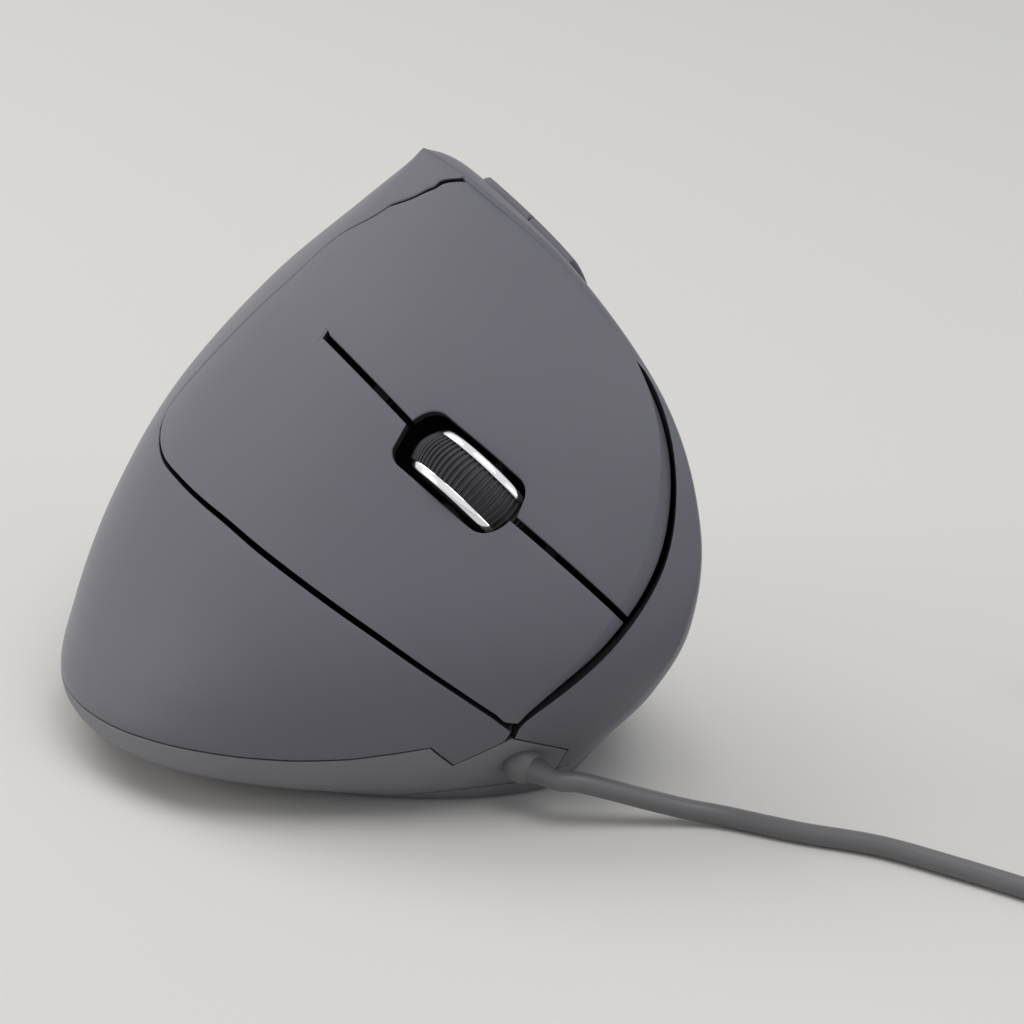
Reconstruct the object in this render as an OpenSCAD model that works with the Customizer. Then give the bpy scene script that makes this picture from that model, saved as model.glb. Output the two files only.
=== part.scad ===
// Vertical ergonomic mouse: a handshake-grip pointing device with a corded plug.
// Frame: X to the finger side, Y to the nose where the cord leaves, Z up, rest plane at Z = 0.

/* [Body] */
// overall width, thumb side to finger side
body_width = 82; // [76:0.5:90]
// overall length, heel to nose
body_length = 110; // [102:0.5:120]
// overall height at the ridge peak
body_height = 80; // [76:0.5:88]
// wall thickness of the shells
wall = 2; // [1.6:0.1:2.4]
// hairline seam between the shells
seam = 0.3; // [0.2:0.05:0.5]
// how far the glide feet stand below the base
foot_proud = 0.5; // [0.3:0.1:0.9]
// floor thickness of the base
floor_t = 2; // [1.6:0.1:2.6]

/* [Finger panel] */
// open gap between the button fronts and the nose shell
nose_gap = 1.4; // [0.8:0.1:1.6]
// gap along the lower edge of the panel
low_gap = 0.6; // [0.4:0.1:1]
// slot between the two main buttons
slot_w = 1; // [0.8:0.1:1.6]
// width of the bevel band on the ridge and front edges
bevel_w = 3.2; // [2:0.1:4.5]
// depth of the bevel band at the edge
bevel_d = 0.8; // [0.3:0.1:1.2]
// thickness of the button skins
button_t = 2; // [1.6:0.1:2.4]
// roll of the finger face mechanism
face_roll = 38; // [34:0.5:42]
// pitch of the finger face mechanism
face_pitch = 28; // [24:0.5:32]
// yaw of the finger face mechanism
face_yaw = 11; // [8:0.5:14]

/* [Scroll wheel] */
// wheel diameter over the tyre
wheel_d = 22; // [20:0.2:24]
// wheel width over the trim rings
wheel_w = 7.6; // [6.8:0.1:8]
// width of the ribbed tyre
tyre_w = 5.2; // [4.4:0.1:5.8]
// radial thickness of the tyre
tyre_t = 2.2; // [1.6:0.1:3]
// number of ribs round the tyre
rib_count = 70; // [48:1:80]
// height of one rib
rib_h = 0.4; // [0.3:0.05:0.6]
// how far the wheel stands out of the panel
wheel_proud = 3; // [2.2:0.1:3.8]
// length of the wheel window
window_l = 21.8; // [20:0.2:24]
// width of the wheel window
window_w = 10; // [9:0.1:11.5]
// axle journal diameter
axle_d = 3; // [2.4:0.1:3.6]
// radial running clearance of the journals
run_gap = 0.05; // [0.02:0.01:0.1]

/* [Side buttons] */
// length of each thumb button
side_len = 11; // [9:0.5:13]
// height of the thumb buttons across the ridge
side_h = 9; // [7:0.5:10]
// how far the thumb buttons stand proud
side_proud = 0.9; // [0.6:0.1:1.4]
// clearance round the thumb buttons
side_gap = 0.5; // [0.4:0.05:0.7]

/* [Boards and switches] */
// board thickness
pcb_t = 1.6; // [1:0.1:2]
// depth of the button board below the panel
board_drop = 17.5; // [16.5:0.1:19]
// button board width
board_w = 30; // [27:0.5:31]
// button board length
board_l = 36; // [34:0.5:38]
// main board width
main_w = 36; // [32:0.5:37]
// main board length
main_l = 56; // [52:0.5:58]
// microswitch length
sw_l = 12.8; // [12:0.1:14]
// microswitch width
sw_w = 5.8; // [5:0.1:6.4]
// microswitch height
sw_h = 6.5; // [6:0.1:7]
// rest gap between a button post and its switch
press_gap = 0.9; // [0.7:0.05:1.2]
// tact switch body size
tact = 6; // [5:0.1:6.5]
// thumb button switch body size
side_tact_w = 4.5; // [4:0.1:5]

/* [Fasteners and feet] */
// shell screw thread diameter
screw_d = 2.3; // [2:0.1:2.6]
// shell screw head diameter
screw_head = 4.4; // [4:0.1:5]
// shell screw length under the head
screw_l = 9; // [7:0.5:11]
// glide foot length
foot_l = 18; // [14:0.5:22]
// glide foot width
foot_w = 8; // [6:0.5:10]

/* [Cord] */
// cord diameter
cord_d = 3; // [2.6:0.1:3.4]
// loops in the put-away coil
coil_loops = 12; // [8:4:16]
// coil diameter at the middle of its turns
coil_mid = 34; // [32:1:38]
// clearance between neighbouring turns
coil_gap = 0.6; // [0.5:0.05:1]

/* [Hidden] */
kx = body_width / 82;
ky = body_length / 110;
kz = (body_height - foot_proud) / 79.5;
// loft stations: height, right, left, front, rear, axis x, axis y, four corner fullness values
stn_mm = [
  [0, 26, -36, 35.5, -50, -7, -8.5, 0.68, 0.60, 0.58, 0.52],
  [6, 40, -40.5, 39.5, -54, -9.5, -6, 0.68, 0.60, 0.58, 0.52],
  [15.5, 39, -39.5, 47.5, -55, -12.5, -3.5, 0.68, 0.60, 0.60, 0.52],
  [28, 31.5, -35.5, 54.5, -55, -15, -3.5, 0.72, 0.62, 0.63, 0.52],
  [41.5, 19.5, -33.5, 53, -52.5, -19.5, -6.5, 0.83, 0.67, 0.69, 0.56],
  [56.5, 3.5, -35, 42, -42, -23, -9.5, 0.93, 0.73, 0.75, 0.61],
  [69.5, -13, -34, 19.5, -28, -25.5, -12.5, 1.0, 0.78, 0.80, 0.66],
  [77, -23, -31.5, -3, -19, -26, -15, 1.0, 0.82, 0.85, 0.70],
  [79.5, -27, -27, -17, -17, -27, -17, 1.0, 0.84, 0.86, 0.71]];
function sized(r) = [foot_proud + r[0] * kz, r[1] * kx, r[2] * kx, r[3] * ky, r[4] * ky,
  r[5] * kx, r[6] * ky, r[7], r[8], r[9], r[10]];
stn = [for (r = stn_mm) sized(r)];
top_v = 7.96;
// one loft row at station parameter v
function row(v) = let (
    k = max(0, min(floor(v), 7)), t = v - k, A = stn[k], B = stn[k + 1],
    mA = k == 0 ? B - A : (B - stn[k - 1]) / 2,
    mB = k == 7 ? B - A : (stn[k + 2] - A) / 2,
    t2 = t * t, t3 = t2 * t)
  (2 * t3 - 3 * t2 + 1) * A + (t3 - 2 * t2 + t) * mA + (3 * t2 - 2 * t3) * B + (t3 - t2) * mB;
// point of the outer skin at angle th and station parameter v
function skin_pt(th, v) = let (
    r = row(v), c = cos(th), s = sin(th),
    kap = c >= 0 ? (s >= 0 ? r[7] : r[8]) : (s >= 0 ? r[9] : r[10]),
    a = c >= 0 ? r[1] - r[5] : r[5] - r[2],
    b = s >= 0 ? r[3] - r[6] : r[6] - r[4])
  [r[5] + sign(c) * a * pow(abs(c), 2 * kap), r[6] + b * s, r[0]];
function v_at(z, lo = 0, hi = 8, i = 0) = i > 20 ? (lo + hi) / 2
  : let (m = (lo + hi) / 2) row(m)[0] < z ? v_at(z, m, hi, i + 1) : v_at(z, lo, m, i + 1);
// nominal heights of parting lines follow the height of the body
function vn(z) = v_at(foot_proud + (z - 0.5) * kz);
function unit(p) = p / norm(p);
function near90(th) = let (q = th % 360, f = q > 180 ? q - 360 : q) f;
function off90(th) = let (f = near90(th)) abs(abs(f) - 90) < 1.5 ? (abs(f) < 90 ? f - sign(f) * 1.5
  : f + sign(f) * 1.5) : f;
function out_dir(th, v) = let (
    w = max(0.03, min(7.9, v)), q = off90(th), e = 0.02,
    du = skin_pt(q + 0.4, w) - skin_pt(q - 0.4, w),
    dv = skin_pt(q, w + e) - skin_pt(q, w - e))
  unit(cross(du, dv));
function ramp(x) = let (c = max(0, min(1, x))) c * c * (3 - 2 * c);
// near the sharp ridge the wall is measured straight down, so both shells end on one sheet
function in_dir(th, v) = let (
    n = out_dir(th, v), z = row(v)[0] / body_height, f = near90(th),
    wf = ramp((z - 0.55) / 0.2) * ramp(1.25 - abs(f - 90) / 28),
    wr = ramp((z - 0.62) / 0.22) * ramp(1.25 - abs(f + 90) / 28),
    w = max(wf, wr), d = unit(n * (1 - w) + [0, 0, 1] * w))
  d / max(0.6, d * n);
function lerp(a, b, t) = a + (b - a) * t;
// smooth curve through listed points, t from 0 to 1
function curve(P, t) = let (
    n = len(P) - 1, x = max(0, min(n - 1e-6, t * n)), k = floor(x), u = x - k,
    A = P[k], B = P[k + 1],
    mA = k == 0 ? B - A : (B - P[k - 1]) / 2,
    mB = k == n - 1 ? B - A : (P[k + 2] - A) / 2,
    u2 = u * u, u3 = u2 * u)
  (2 * u3 - 3 * u2 + 1) * A + (u3 - 2 * u2 + u) * mA + (3 * u2 - 2 * u3) * B + (u3 - u2) * mB;
// closed skin between two matching point grids
module skin_solid(G, flip = false) {
  M = len(G);
  N = len(G[0]);
  o = M * N;
  pts = [for (k = [0, 1]) for (i = [0:M - 1]) for (j = [0:N - 1]) G[i][j][k]];
  quad = function (a, b, c, d) [[a, b, c], [a, c, d]];
  raw = [
    for (i = [0:M - 2]) for (j = [0:N - 2]) let (a = i * N + j)
      each concat(quad(a, a + 1, a + N + 1, a + N), quad(o + a, o + a + N, o + a + N + 1, o + a + 1)),
    for (j = [0:N - 2]) let (a = j, d = (M - 1) * N + j)
      each concat(quad(a + 1, a, o + a, o + a + 1), quad(d, d + 1, o + d + 1, o + d)),
    for (i = [0:M - 2]) let (a = i * N, b = i * N + N - 1)
      each concat(quad(a, a + N, o + a + N, o + a), quad(b + N, b, o + b, o + b + N))];
  polyhedron(pts, flip ? [for (f = raw) [f[2], f[1], f[0]]] : raw, convexity = 10);
}
// outer and inner point of a wall of thickness t, the outer one moved out by e
function wall_pair(th, v, t, e = 0) = let (p = skin_pt(th, v))
  [p + e * (e < 0 ? in_dir(th, v) : out_dir(th, v)), p - t * in_dir(th, v)];
// parting line of the base: angle and height, with the tooth and the peaked cord gate at the front
base_line = [[-90, 7.5], [-58, 7.8], [-35, 8.5], [-10, 9.7], [8, 10.6], [19, 10.9], [27, 11], [35, 11.2],
  [42, 11.7], [48, 12.7], [52.5, 13.5], [59, 9.4], [64.5, 14], [73, 11.2], [81.5, 8.5], [84.2, 4.4],
  [100, 4.4], [130, 5], [160, 6], [200, 7], [270, 7.5]];
// edge of the nose shell along the front gap: height and angle
gap_line = [[14, 65], [16, 64.2], [18, 65.2], [20.5, 66.9], [24, 68.9], [30, 71.9], [36, 74.2], [43, 76.8],
  [48, 78.8], [52, 80.8], [56, 83.6], [59, 87], [61, 90], [80, 90]];
// share of the gap left open at each height
gap_share = [[14, 1], [30, 1], [43, 0.85], [52, 0.65], [61, 0.5], [64, 0.5]];
// angle taken by one millimetre of gap at each height
gap_rate = [[14, 1.5], [30, 1.5], [43, 1.8], [48, 2.2], [52, 2.8], [56, 3.3], [59, 4.4], [61, 5.4],
  [64, 5.4]];
// palm shell: outer border and the border along the finger panel, matched rung by rung
palm_q = [[90, 79.9], [0, 79.9], [-60, 79.8], [-90, 79], [-90, 76], [-90, 72], [-90, 64], [-90, 55],
  [-90, 45], [-90, 34], [-90, 22], [-90, 7.5], [-75, 7.6], [-58, 7.8], [-35, 8.5], [-10, 9.7],
  [8, 10.6], [19, 10.9], [27, 11], [35, 11.2], [42, 11.7], [48, 12.7], [52.5, 13.5], [56, 11.3],
  [59, 9.4], [63, 12.8]];
palm_k = [[90, 78.4], [60, 78.2], [28, 77.1], [3, 74.3], [-14.5, 71.2], [-25.5, 69], [-30, 62], [-33, 55],
  [-35.2, 48.3], [-36, 45.3], [-35.5, 42.7], [-33, 41.3], [-29, 40.6], [-22, 39.9], [-11, 39.6], [3, 38.4],
  [12, 36.5], [20, 34.4], [27.3, 32.1], [34.5, 29.5], [42, 26.3], [50, 22.5], [55, 19.9], [58.5, 18],
  [61, 16.5], [63, 15.3]];
function line(P, t) = let (n = len(P) - 1, x = min(n - 1e-6, t * n), k = floor(x))
  lerp(P[k], P[k + 1], x - k);

// finger panel borders in angle and height
crease_z = [77.9, 76.8, 75.3, 73.5, 71.4, 69, 66.3, 63.2];
front_z = [63.2, 61, 59, 56, 52, 48, 43, 36, 30, 24, 20.5, 18.2, 17.2];
ridge_th = 83;
function front_th(z) = z > 63 ? ridge_th
  : lookup(z, gap_line) - nose_gap * lookup(z, gap_share) * lookup(z, gap_rate);
panel_upper = [for (z = crease_z) [ridge_th, z]];
panel_front = [for (z = front_z) [front_th(z), z]];
panel_low = [for (i = [11:25]) i == 25 ? panel_front[12]
  : palm_k[i] + [i == 11 ? 2.4 * seam : 0, 1.2 * low_gap]];
panel_rear = [for (i = [0:11]) i == 0 ? panel_upper[0] : i == 11 ? panel_low[0]
  : palm_k[i] + seam * (i < 4 ? [0, -1.3] : [2.4, -0.6])];
function panel_at(u, w) = let (
    A = panel_upper[0], D = panel_upper[7], C = panel_front[12], B = panel_low[0])
  lerp(curve(panel_upper, u), curve(panel_low, u), w) + lerp(curve(panel_rear, w), curve(panel_front, w), u)
  - lerp(lerp(A, D, u), lerp(B, C, u), w);
panel_span = 48;
panel_run = 62;
function bevel_at(u, w) = -bevel_d * max(0, 1 - w * panel_span / bevel_w,
  (1 - (1 - u) * panel_run / bevel_w) * (1 - ramp((w - 0.7) / 0.3)));
hinge_u = 0.28;
hinge_half = 0.003;
panel_w = concat([0, bevel_w / panel_span], [for (k = [1:11]) lerp(bevel_w / panel_span, 1, k / 11)]);
function panel_pair(u, w) = let (q = panel_at(u, w))
  wall_pair(q[0], vn(q[1]), button_t, bevel_at(u, w));
module panel_piece(us) {
  translate([seam / 2, 0, 0])
    skin_solid([for (u = us) [for (w = panel_w) panel_pair(u, w)]], true);
}
fore_u = concat([for (k = [0:11]) lerp(hinge_u + hinge_half, 1 - bevel_w / panel_run, k / 11)], [1]);
rear_u = [for (k = [0:4]) lerp(0, hinge_u - hinge_half, k / 4)];

// finger face frame: x toward the lower finger, y toward the nose, z out of the panel
wheel_at = skin_pt(37, vn(48.8)) + [seam / 2, 0, 0];
fa = -face_pitch;
fb = face_roll;
fc = -face_yaw;
face_i = [cos(fc) * cos(fb), sin(fc) * cos(fb), -sin(fb)];
face_j = [cos(fc) * sin(fb) * sin(fa) - sin(fc) * cos(fa), sin(fc) * sin(fb) * sin(fa) + cos(fc) * cos(fa),
  cos(fb) * sin(fa)];
face_k = [cos(fc) * sin(fb) * cos(fa) + sin(fc) * sin(fa), sin(fc) * sin(fb) * cos(fa) - cos(fc) * sin(fa),
  cos(fb) * cos(fa)];
function from_face(q) = wheel_at + q[0] * face_i + q[1] * face_j + q[2] * face_k;
function to_face(p) = let (d = p - wheel_at) [d * face_i, d * face_j, d * face_k];
function face_x(y, z) = let (
    r = row(v_at(z)), b = y >= r[6] ? r[3] - r[6] : r[6] - r[4], q = min(1, abs((y - r[6]) / b)))
  r[5] + (r[1] - r[5]) * pow(1 - q * q, y >= r[6] ? r[7] : r[8]);
function face_z(x, y, lo = -30, hi = 10, i = 0) = i > 24 ? lo
  : let (m = (lo + hi) / 2, p = from_face([x, y, m]))
    p[0] - seam / 2 < face_x(p[1], p[2]) ? face_z(x, y, m, hi, i + 1) : face_z(x, y, lo, m, i + 1);
module on_face() translate(wheel_at) rotate([fa, fb, fc]) children();

module palm_skin() {
  M = 50;
  N = 12;
  translate([seam / 2, 0, 0])
    skin_solid([for (i = [0:M]) [for (j = [0:N])
      let (q = lerp(line(palm_q, i / M), curve(palm_k, i / M), j / N)) wall_pair(q[0], vn(q[1]), wall)]]);
}

thumb_f = [for (k = [0:26]) let (t = k / 26) t];
thumb_th = concat([65, 69, 73, 77, 81.5, 84.2], [for (t = [90:8:266]) t], [270]);
thumb_g = [for (t = thumb_th) (t - 65) / 205];
function thumb_at(f, g) = let (
    tb = lerp(65, 270, g), vb = vn(lookup(tb, base_line)), vs = vn(lookup(65, base_line)),
    v0 = lerp(vs, top_v, f), zs = (row(v0)[0] - foot_proud) / kz + 0.5)
  [lerp(lookup(zs, gap_line), 270, g), lerp(vb, top_v, f)];
module thumb_skin() {
  translate([-seam / 2, 0, 0])
    skin_solid([for (f = thumb_f) [for (g = thumb_g)
      let (q = thumb_at(f, g)) wall_pair(q[0], q[1], wall)]], true);
}

base_seam = 1.5 * seam;
base_th = concat([for (i = [22:49]) line(palm_q, i / 50)[0]], [64.5, 69, 73, 77, 81.5, 84.2],
  [for (t = [90:8:266]) t]);
module base_tray() {
  n = len(base_th);
  zf = foot_proud + floor_t;
  hor = function (th, v, t) let (p = skin_pt(th, v), q = skin_pt(th + 0.5, v) - skin_pt(th - 0.5, v),
    d = unit([q[1], -q[0], 0])) p - t * d;
  rim = function (th) vn(lookup(th, base_line) - base_seam);
  rows = concat(
    [for (f = [0, 0.12, 0.3, 0.6, 1]) [for (th = base_th) skin_pt(th, lerp(0, rim(th), f))]],
    [[for (th = base_th) hor(th, rim(th), wall)]],
    [for (f = [0.6]) [for (th = base_th) hor(th, lerp(v_at(zf), rim(th), f), wall + 0.3)]],
    [[for (th = base_th) hor(th, v_at(zf), wall + 1.6)]]);
  m = len(rows);
  pts = concat([for (r = rows) each r], [[0, 0, foot_proud], [0, 0, zf]]);
  faces = concat(
    [for (i = [0:m - 2]) for (j = [0:n - 1]) let (a = i * n + j, b = i * n + (j + 1) % n)
      each [[a, b + n, b], [a, a + n, b + n]]],
    [for (j = [0:n - 1]) [m * n, j, (j + 1) % n]],
    [for (j = [0:n - 1]) [m * n + 1, (m - 1) * n + (j + 1) % n, (m - 1) * n + j]]);
  polyhedron(pts, faces, convexity = 10);
}
// left border of the body at a given depth and height
function side_x(y, z) = let (
    r = row(v_at(z)), b = y >= r[6] ? r[3] - r[6] : r[6] - r[4], q = min(1, abs((y - r[6]) / b)))
  r[5] - (r[5] - r[2]) * pow(1 - q * q, y >= r[6] ? r[9] : r[10]);
function crease_at(y, lo = 45, hi = 79, i = 0) = i > 20 ? lo
  : let (m = (lo + hi) / 2) row(vn(m))[3] > y ? crease_at(y, m, hi, i + 1) : crease_at(y, lo, m, i + 1);
function left_th(y, v) = let (r = row(v), b = y >= r[6] ? r[3] - r[6] : r[6] - r[4])
  180 - asin(max(-1, min(1, (y - r[6]) / b)));

floor_z = foot_proud + floor_t;
deck_z = floor_z + 4;
board_top = deck_z + pcb_t;
palm_posts = [[21, -18], [21, 6]];
thumb_posts = [[-30, -16], [-29, 10]];
board_z = -board_drop;
carrier_z = board_z - pcb_t - 1.5;
carrier_t = 2;
function leg_at(y) = let (p = from_face([0, y, carrier_z])) [p[0], p[1]];
legs = [leg_at(8), leg_at(-40)];
all_posts = concat(palm_posts, thumb_posts, legs);
post_r = 3.2;
fit = 0.05;
main_at = [-2, -8];
main_pins = [[-17, 16], [12, 16], [12, -32], [-17, -32]];
sensor_at = [-2, 0];

// cord leaves through the gate along this line
exit_at = [1, 38, 8.15];
exit_dir = unit([-0.8, 4, -0.5]);
relief_r = 2.1;
module along_exit() translate(exit_at)
  rotate([0, acos(exit_dir[2]), atan2(exit_dir[1], exit_dir[0])]) children();

module base_post(p, r) translate([p[0], p[1], floor_z - 0.5])
  cylinder(r = r, h = deck_z - floor_z + 0.5, $fn = 48);
module base_cover() color([0.25, 0.25, 0.27]) {
  difference() {
    union() {
      base_tray();
      for (p = all_posts) base_post(p, post_r);
      for (p = main_pins) base_post(p, 2.2);
    }
    for (p = all_posts) translate([p[0], p[1], 0]) {
      cylinder(d = screw_d + 0.3, h = 10, $fn = 48);
      cylinder(d = screw_head + 0.4, h = foot_proud + 1.6, $fn = 48);
    }
    for (p = main_pins) translate([p[0], p[1], deck_z - 3.5]) cylinder(d = 1.8, h = 6, $fn = 32);
    translate([sensor_at[0] - 4, sensor_at[1] - 3, -1]) cube([8, 6, 6]);
    along_exit() translate([0, 0, -9]) cylinder(r = relief_r + fit, h = 16, $fn = 48);
    for (f = feet) translate([f[0], f[1], -1]) rotate([0, 0, f[2]]) foot_shape(fit, foot_proud + 1.5);
  }
}
feet = [[-6, 15, 0], [-8, -40, 0], [12.5, -6, 90], [-24, -3, 90]];
module foot_shape(grow, h) {
  c = (foot_l - foot_w) / 2;
  for (s = [-1, 1]) translate([s * c, 0, 0]) cylinder(d = foot_w + 2 * grow, h = h, $fn = 48);
  translate([-c, -foot_w / 2 - grow, 0]) cube([2 * c, foot_w + 2 * grow, h]);
}
module glide_feet() color([0.12, 0.12, 0.12]) {
  for (f = feet) translate([f[0], f[1], 0]) rotate([0, 0, f[2]]) foot_shape(0, foot_proud + 0.5);
}
module base_screws() color([0.6, 0.6, 0.62]) {
  for (p = all_posts) translate([p[0], p[1], foot_proud + 0.3]) {
    cylinder(d = screw_head, h = 1.3, $fn = 48);
    cylinder(d = screw_d, h = 1.3 + screw_l, $fn = 32);
  }
}
module shell_boss(p, wx) {
  dx = wx - p[0];
  difference() {
    union() {
      translate([p[0], p[1], deck_z]) cylinder(r = post_r, h = 11, $fn = 48);
      translate([min(p[0], wx), p[1] - 0.8, deck_z + 6]) cube([abs(dx), 1.6, 5]);
    }
    translate([p[0], p[1], deck_z - 1]) cylinder(d = screw_d + 2 * fit, h = 9, $fn = 48);
  }
}
module palm_shell() color([0.3, 0.3, 0.33]) {
  palm_skin();
  for (p = palm_posts) shell_boss(p, min(face_x(p[1], deck_z + 6), face_x(p[1], deck_z + 11)) - 1);
}

// thumb buttons: strips just under the ridge
side_mid = 4.2 * ky;
side_y = [side_mid - side_len - 0.4, side_mid + 0.4];
side_drop = 1.8;
function side_pt(y, k, e) = let (z = crease_at(y) - side_drop - side_h * k, v = vn(z), th = left_th(y, v))
  skin_pt(th, v) + e * out_dir(th, v) - [seam / 2, 0, 0];
module side_piece(y0, len_y, h0, h1, e0, e1) {
  skin_solid([for (i = [0:6]) [for (j = [0:5])
    let (y = lerp(y0, y0 + len_y, i / 6), k = lerp(h0, h1, j / 5)) [side_pt(y, k, e1), side_pt(y, k, e0)]]]);
}
side_k = side_gap / side_h;
tact_h = 4.3;
side_board_x = -23 * kx;
side_skin = 1.8;
function side_sw(y) = side_pt(y + side_len / 2, 0.75, 0);
module side_button(y) {
  side_piece(y, side_len, 0, 1, -side_skin, side_proud);
  s = side_sw(y);
  tip = side_board_x - pcb_t - tact_h - press_gap;
  translate([s[0] + 1.2, s[1], s[2]]) rotate([0, 90, 0])
    cylinder(r = 1.5, h = tip - s[0] - 1.2, $fn = 32);
}
module back_button() color([0.2, 0.2, 0.22]) side_button(side_y[0]);
module forward_button() color([0.2, 0.2, 0.22]) side_button(side_y[1]);
side_ends = [side_sw(side_y[0]), side_sw(side_y[1])];
side_low = side_ends[1][2] - 10.5;
side_post = [for (e = side_ends) [e[1] + (e[1] < side_mid ? -3 : 1), side_low + 3]];
module thumb_shell() color([0.3, 0.3, 0.33]) {
  difference() {
    union() {
      thumb_skin();
      for (p = thumb_posts) shell_boss(p, max(side_x(p[1], deck_z + 6), side_x(p[1], deck_z + 11)) + 1);
      for (p = side_post) let (x0 = side_x(p[0], p[1]) + 1)
        translate([x0, p[0], p[1]]) rotate([0, 90, 0])
          cylinder(r = 2, h = side_board_x - pcb_t - x0, $fn = 32);
    }
    side_piece(side_y[0] - side_gap, side_y[1] - side_y[0] + side_len + 2 * side_gap,
      -side_k, 1 + side_k, -5, 5);
  }
}
module side_pcb() color([0.1, 0.3, 0.15]) {
  a = side_ends[0];
  b = side_ends[1];
  rise = (b[2] - a[2]) / (b[1] - a[1]);
  edge = side_tact_w / 2 + 0.4;
  translate([side_board_x - pcb_t, 0, 0]) rotate([90, 0, 90]) linear_extrude(height = pcb_t)
    polygon([[a[1] - 6, side_low], [b[1] + edge, side_low], [b[1] + edge, b[2] + edge * (1 + rise)],
      [a[1] - 6, a[2] + edge - 6 * rise]]);
}
module side_tact(y) {
  s = side_sw(y);
  translate([side_board_x - pcb_t, s[1], s[2]]) rotate([0, -90, 0]) {
    translate([-side_tact_w / 2, -side_tact_w / 2, 0]) cube([side_tact_w, side_tact_w, tact_h - 0.8]);
    cylinder(d = 2.4, h = tact_h, $fn = 32);
  }
}
module side_switches() color([0.15, 0.15, 0.15]) {
  for (y = side_y) side_tact(y);
}

// main buttons and the fixed rear part of the finger panel
sw_x = 11.5;
sw_y = 12;
post_z = board_z + sw_h + 0.8 + press_gap;
slot_bend = 2.9;
module slot_cut(side) {
  s = -side * slot_w / 2;
  far = side * 60;
  translate([0, 0, -40]) linear_extrude(height = 80)
    polygon([[s - 0.9, 45], [s, 6], [s, -4], [s - slot_bend, -34], [s - slot_bend - 0.6, -41],
      [far, -41], [far, 45]]);
}
window_full = 2.5;
window_end = 3.8;
window_back = (window_l - 20) / 2;
window_skin = 1.6;
window_room = 1.2;
function puff(c) = sign(c) * pow(abs(c), 2 / window_full);
// the front end stays at the wheel, so a longer window reaches further back
module window_shape() translate([0, -window_back]) polygon([for (a = [0:7.5:352.5])
  [window_w / 2 * puff(cos(a)), sign(sin(a)) * (window_l / 2 - window_end) + window_end * puff(sin(a))]]);
// the opening for the wheel, wider under the skin so that a pressed button clears the tyre
module window_cut() {
  translate([0, 0, -40]) linear_extrude(height = 80) window_shape();
  translate([0, 0, -40]) linear_extrude(height = 40 - window_skin)
    offset(delta = window_room) window_shape();
}
module main_button(side) {
  difference() {
    panel_piece(fore_u);
    on_face() {
      slot_cut(-side);
      window_cut();
    }
  }
  on_face() translate([side * sw_x, sw_y, post_z])
    cylinder(r = 1.8, h = face_z(side * sw_x, sw_y) - 1.2 - post_z, $fn = 32);
}
module left_button() color([0.3, 0.3, 0.33]) main_button(-1);
module right_button() color([0.3, 0.3, 0.33]) main_button(1);
module finger_panel() color([0.3, 0.3, 0.33]) {
  panel_piece(rear_u);
  on_face() for (x = [-5, 5]) translate([x, -43, carrier_z])
    cylinder(r = 2.2, h = face_z(x, -43) - 1 - carrier_z, $fn = 32);
}

// scroll wheel on a rocking cradle, all in the finger face frame
axle_z = wheel_proud - wheel_d / 2;
core_r = wheel_d / 2 - tyre_t;
ring_r = wheel_d / 2 - 0.5;
ring_w = (wheel_w - tyre_w) / 2;
ring_slope = 0.4;
cheek_x = wheel_w / 2 + 2.6;
cheek_t = 1.6;
pivot_y = -22;
pivot_z = axle_z - 3;
module across(x0, r, h, fn = 64) translate([x0, 0, 0]) rotate([0, 90, 0]) cylinder(r = r, h = h, $fn = fn);
module wheel_tyre() color([0.12, 0.12, 0.13]) {
  pitch = 360 / rib_count;
  r0 = wheel_d / 2 - rib_h;
  r1 = wheel_d / 2;
  on_face() translate([-tyre_w / 2, 0, axle_z]) rotate([0, 90, 0])
    difference() {
      linear_extrude(height = tyre_w)
        polygon([for (k = [0:rib_count - 1]) each [
          for (q = [[0, r0], [0.22, r0], [0.34, r1], [0.66, r1], [0.78, r0]])
            q[1] * [cos((k + q[0]) * pitch), sin((k + q[0]) * pitch)]]]);
      translate([0, 0, -1]) cylinder(r = core_r, h = tyre_w + 2, $fn = 64);
    }
}
module wheel_rings() color([0.85, 0.85, 0.87]) {
  on_face() translate([0, 0, axle_z]) for (s = [-1, 1])
    difference() {
      translate([s * tyre_w / 2, 0, 0]) rotate([0, s * 90, 0])
        cylinder(r1 = ring_r, r2 = ring_r - ring_slope, h = ring_w, $fn = 64);
      across(-wheel_w, core_r, 2 * wheel_w);
    }
}
module wheel_hub() color([0.15, 0.15, 0.16]) {
  on_face() translate([0, 0, axle_z]) {
    across(-wheel_w / 2, core_r, wheel_w);
    across(-wheel_w / 2 - 1, 3, wheel_w + 2, 48);
    across(-cheek_x - cheek_t, axle_d / 2, 2 * (cheek_x + cheek_t) + 2.5, 48);
  }
}
click_gap = 0.8;
mid_top = board_z + tact_h;
bar_z = mid_top + click_gap;
module wheel_cradle() color([0.2, 0.2, 0.2]) {
  on_face() difference() {
    union() {
      for (s = [-1, 1]) translate([s > 0 ? cheek_x : -cheek_x - cheek_t, pivot_y - 2.5, pivot_z - 2])
        cube([cheek_t, 15 - pivot_y + 2.5, axle_z + 3 - pivot_z + 2]);
      translate([-cheek_x, pivot_y - 2.5, pivot_z - 2]) cube([2 * cheek_x, 3, 4]);
      translate([-cheek_x, 13, bar_z]) cube([2 * cheek_x, 2, pivot_z + 2 - bar_z]);
      translate([-cheek_x - cheek_t - 2.8, pivot_y, pivot_z]) rotate([0, 90, 0])
        cylinder(d = 2.4, h = 2 * (cheek_x + cheek_t + 2.8), $fn = 32);
    }
    translate([0, 0, axle_z]) across(-20, axle_d / 2 + run_gap, 40, 48);
  }
}
lug_x = cheek_x + cheek_t + 0.6;
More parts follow.
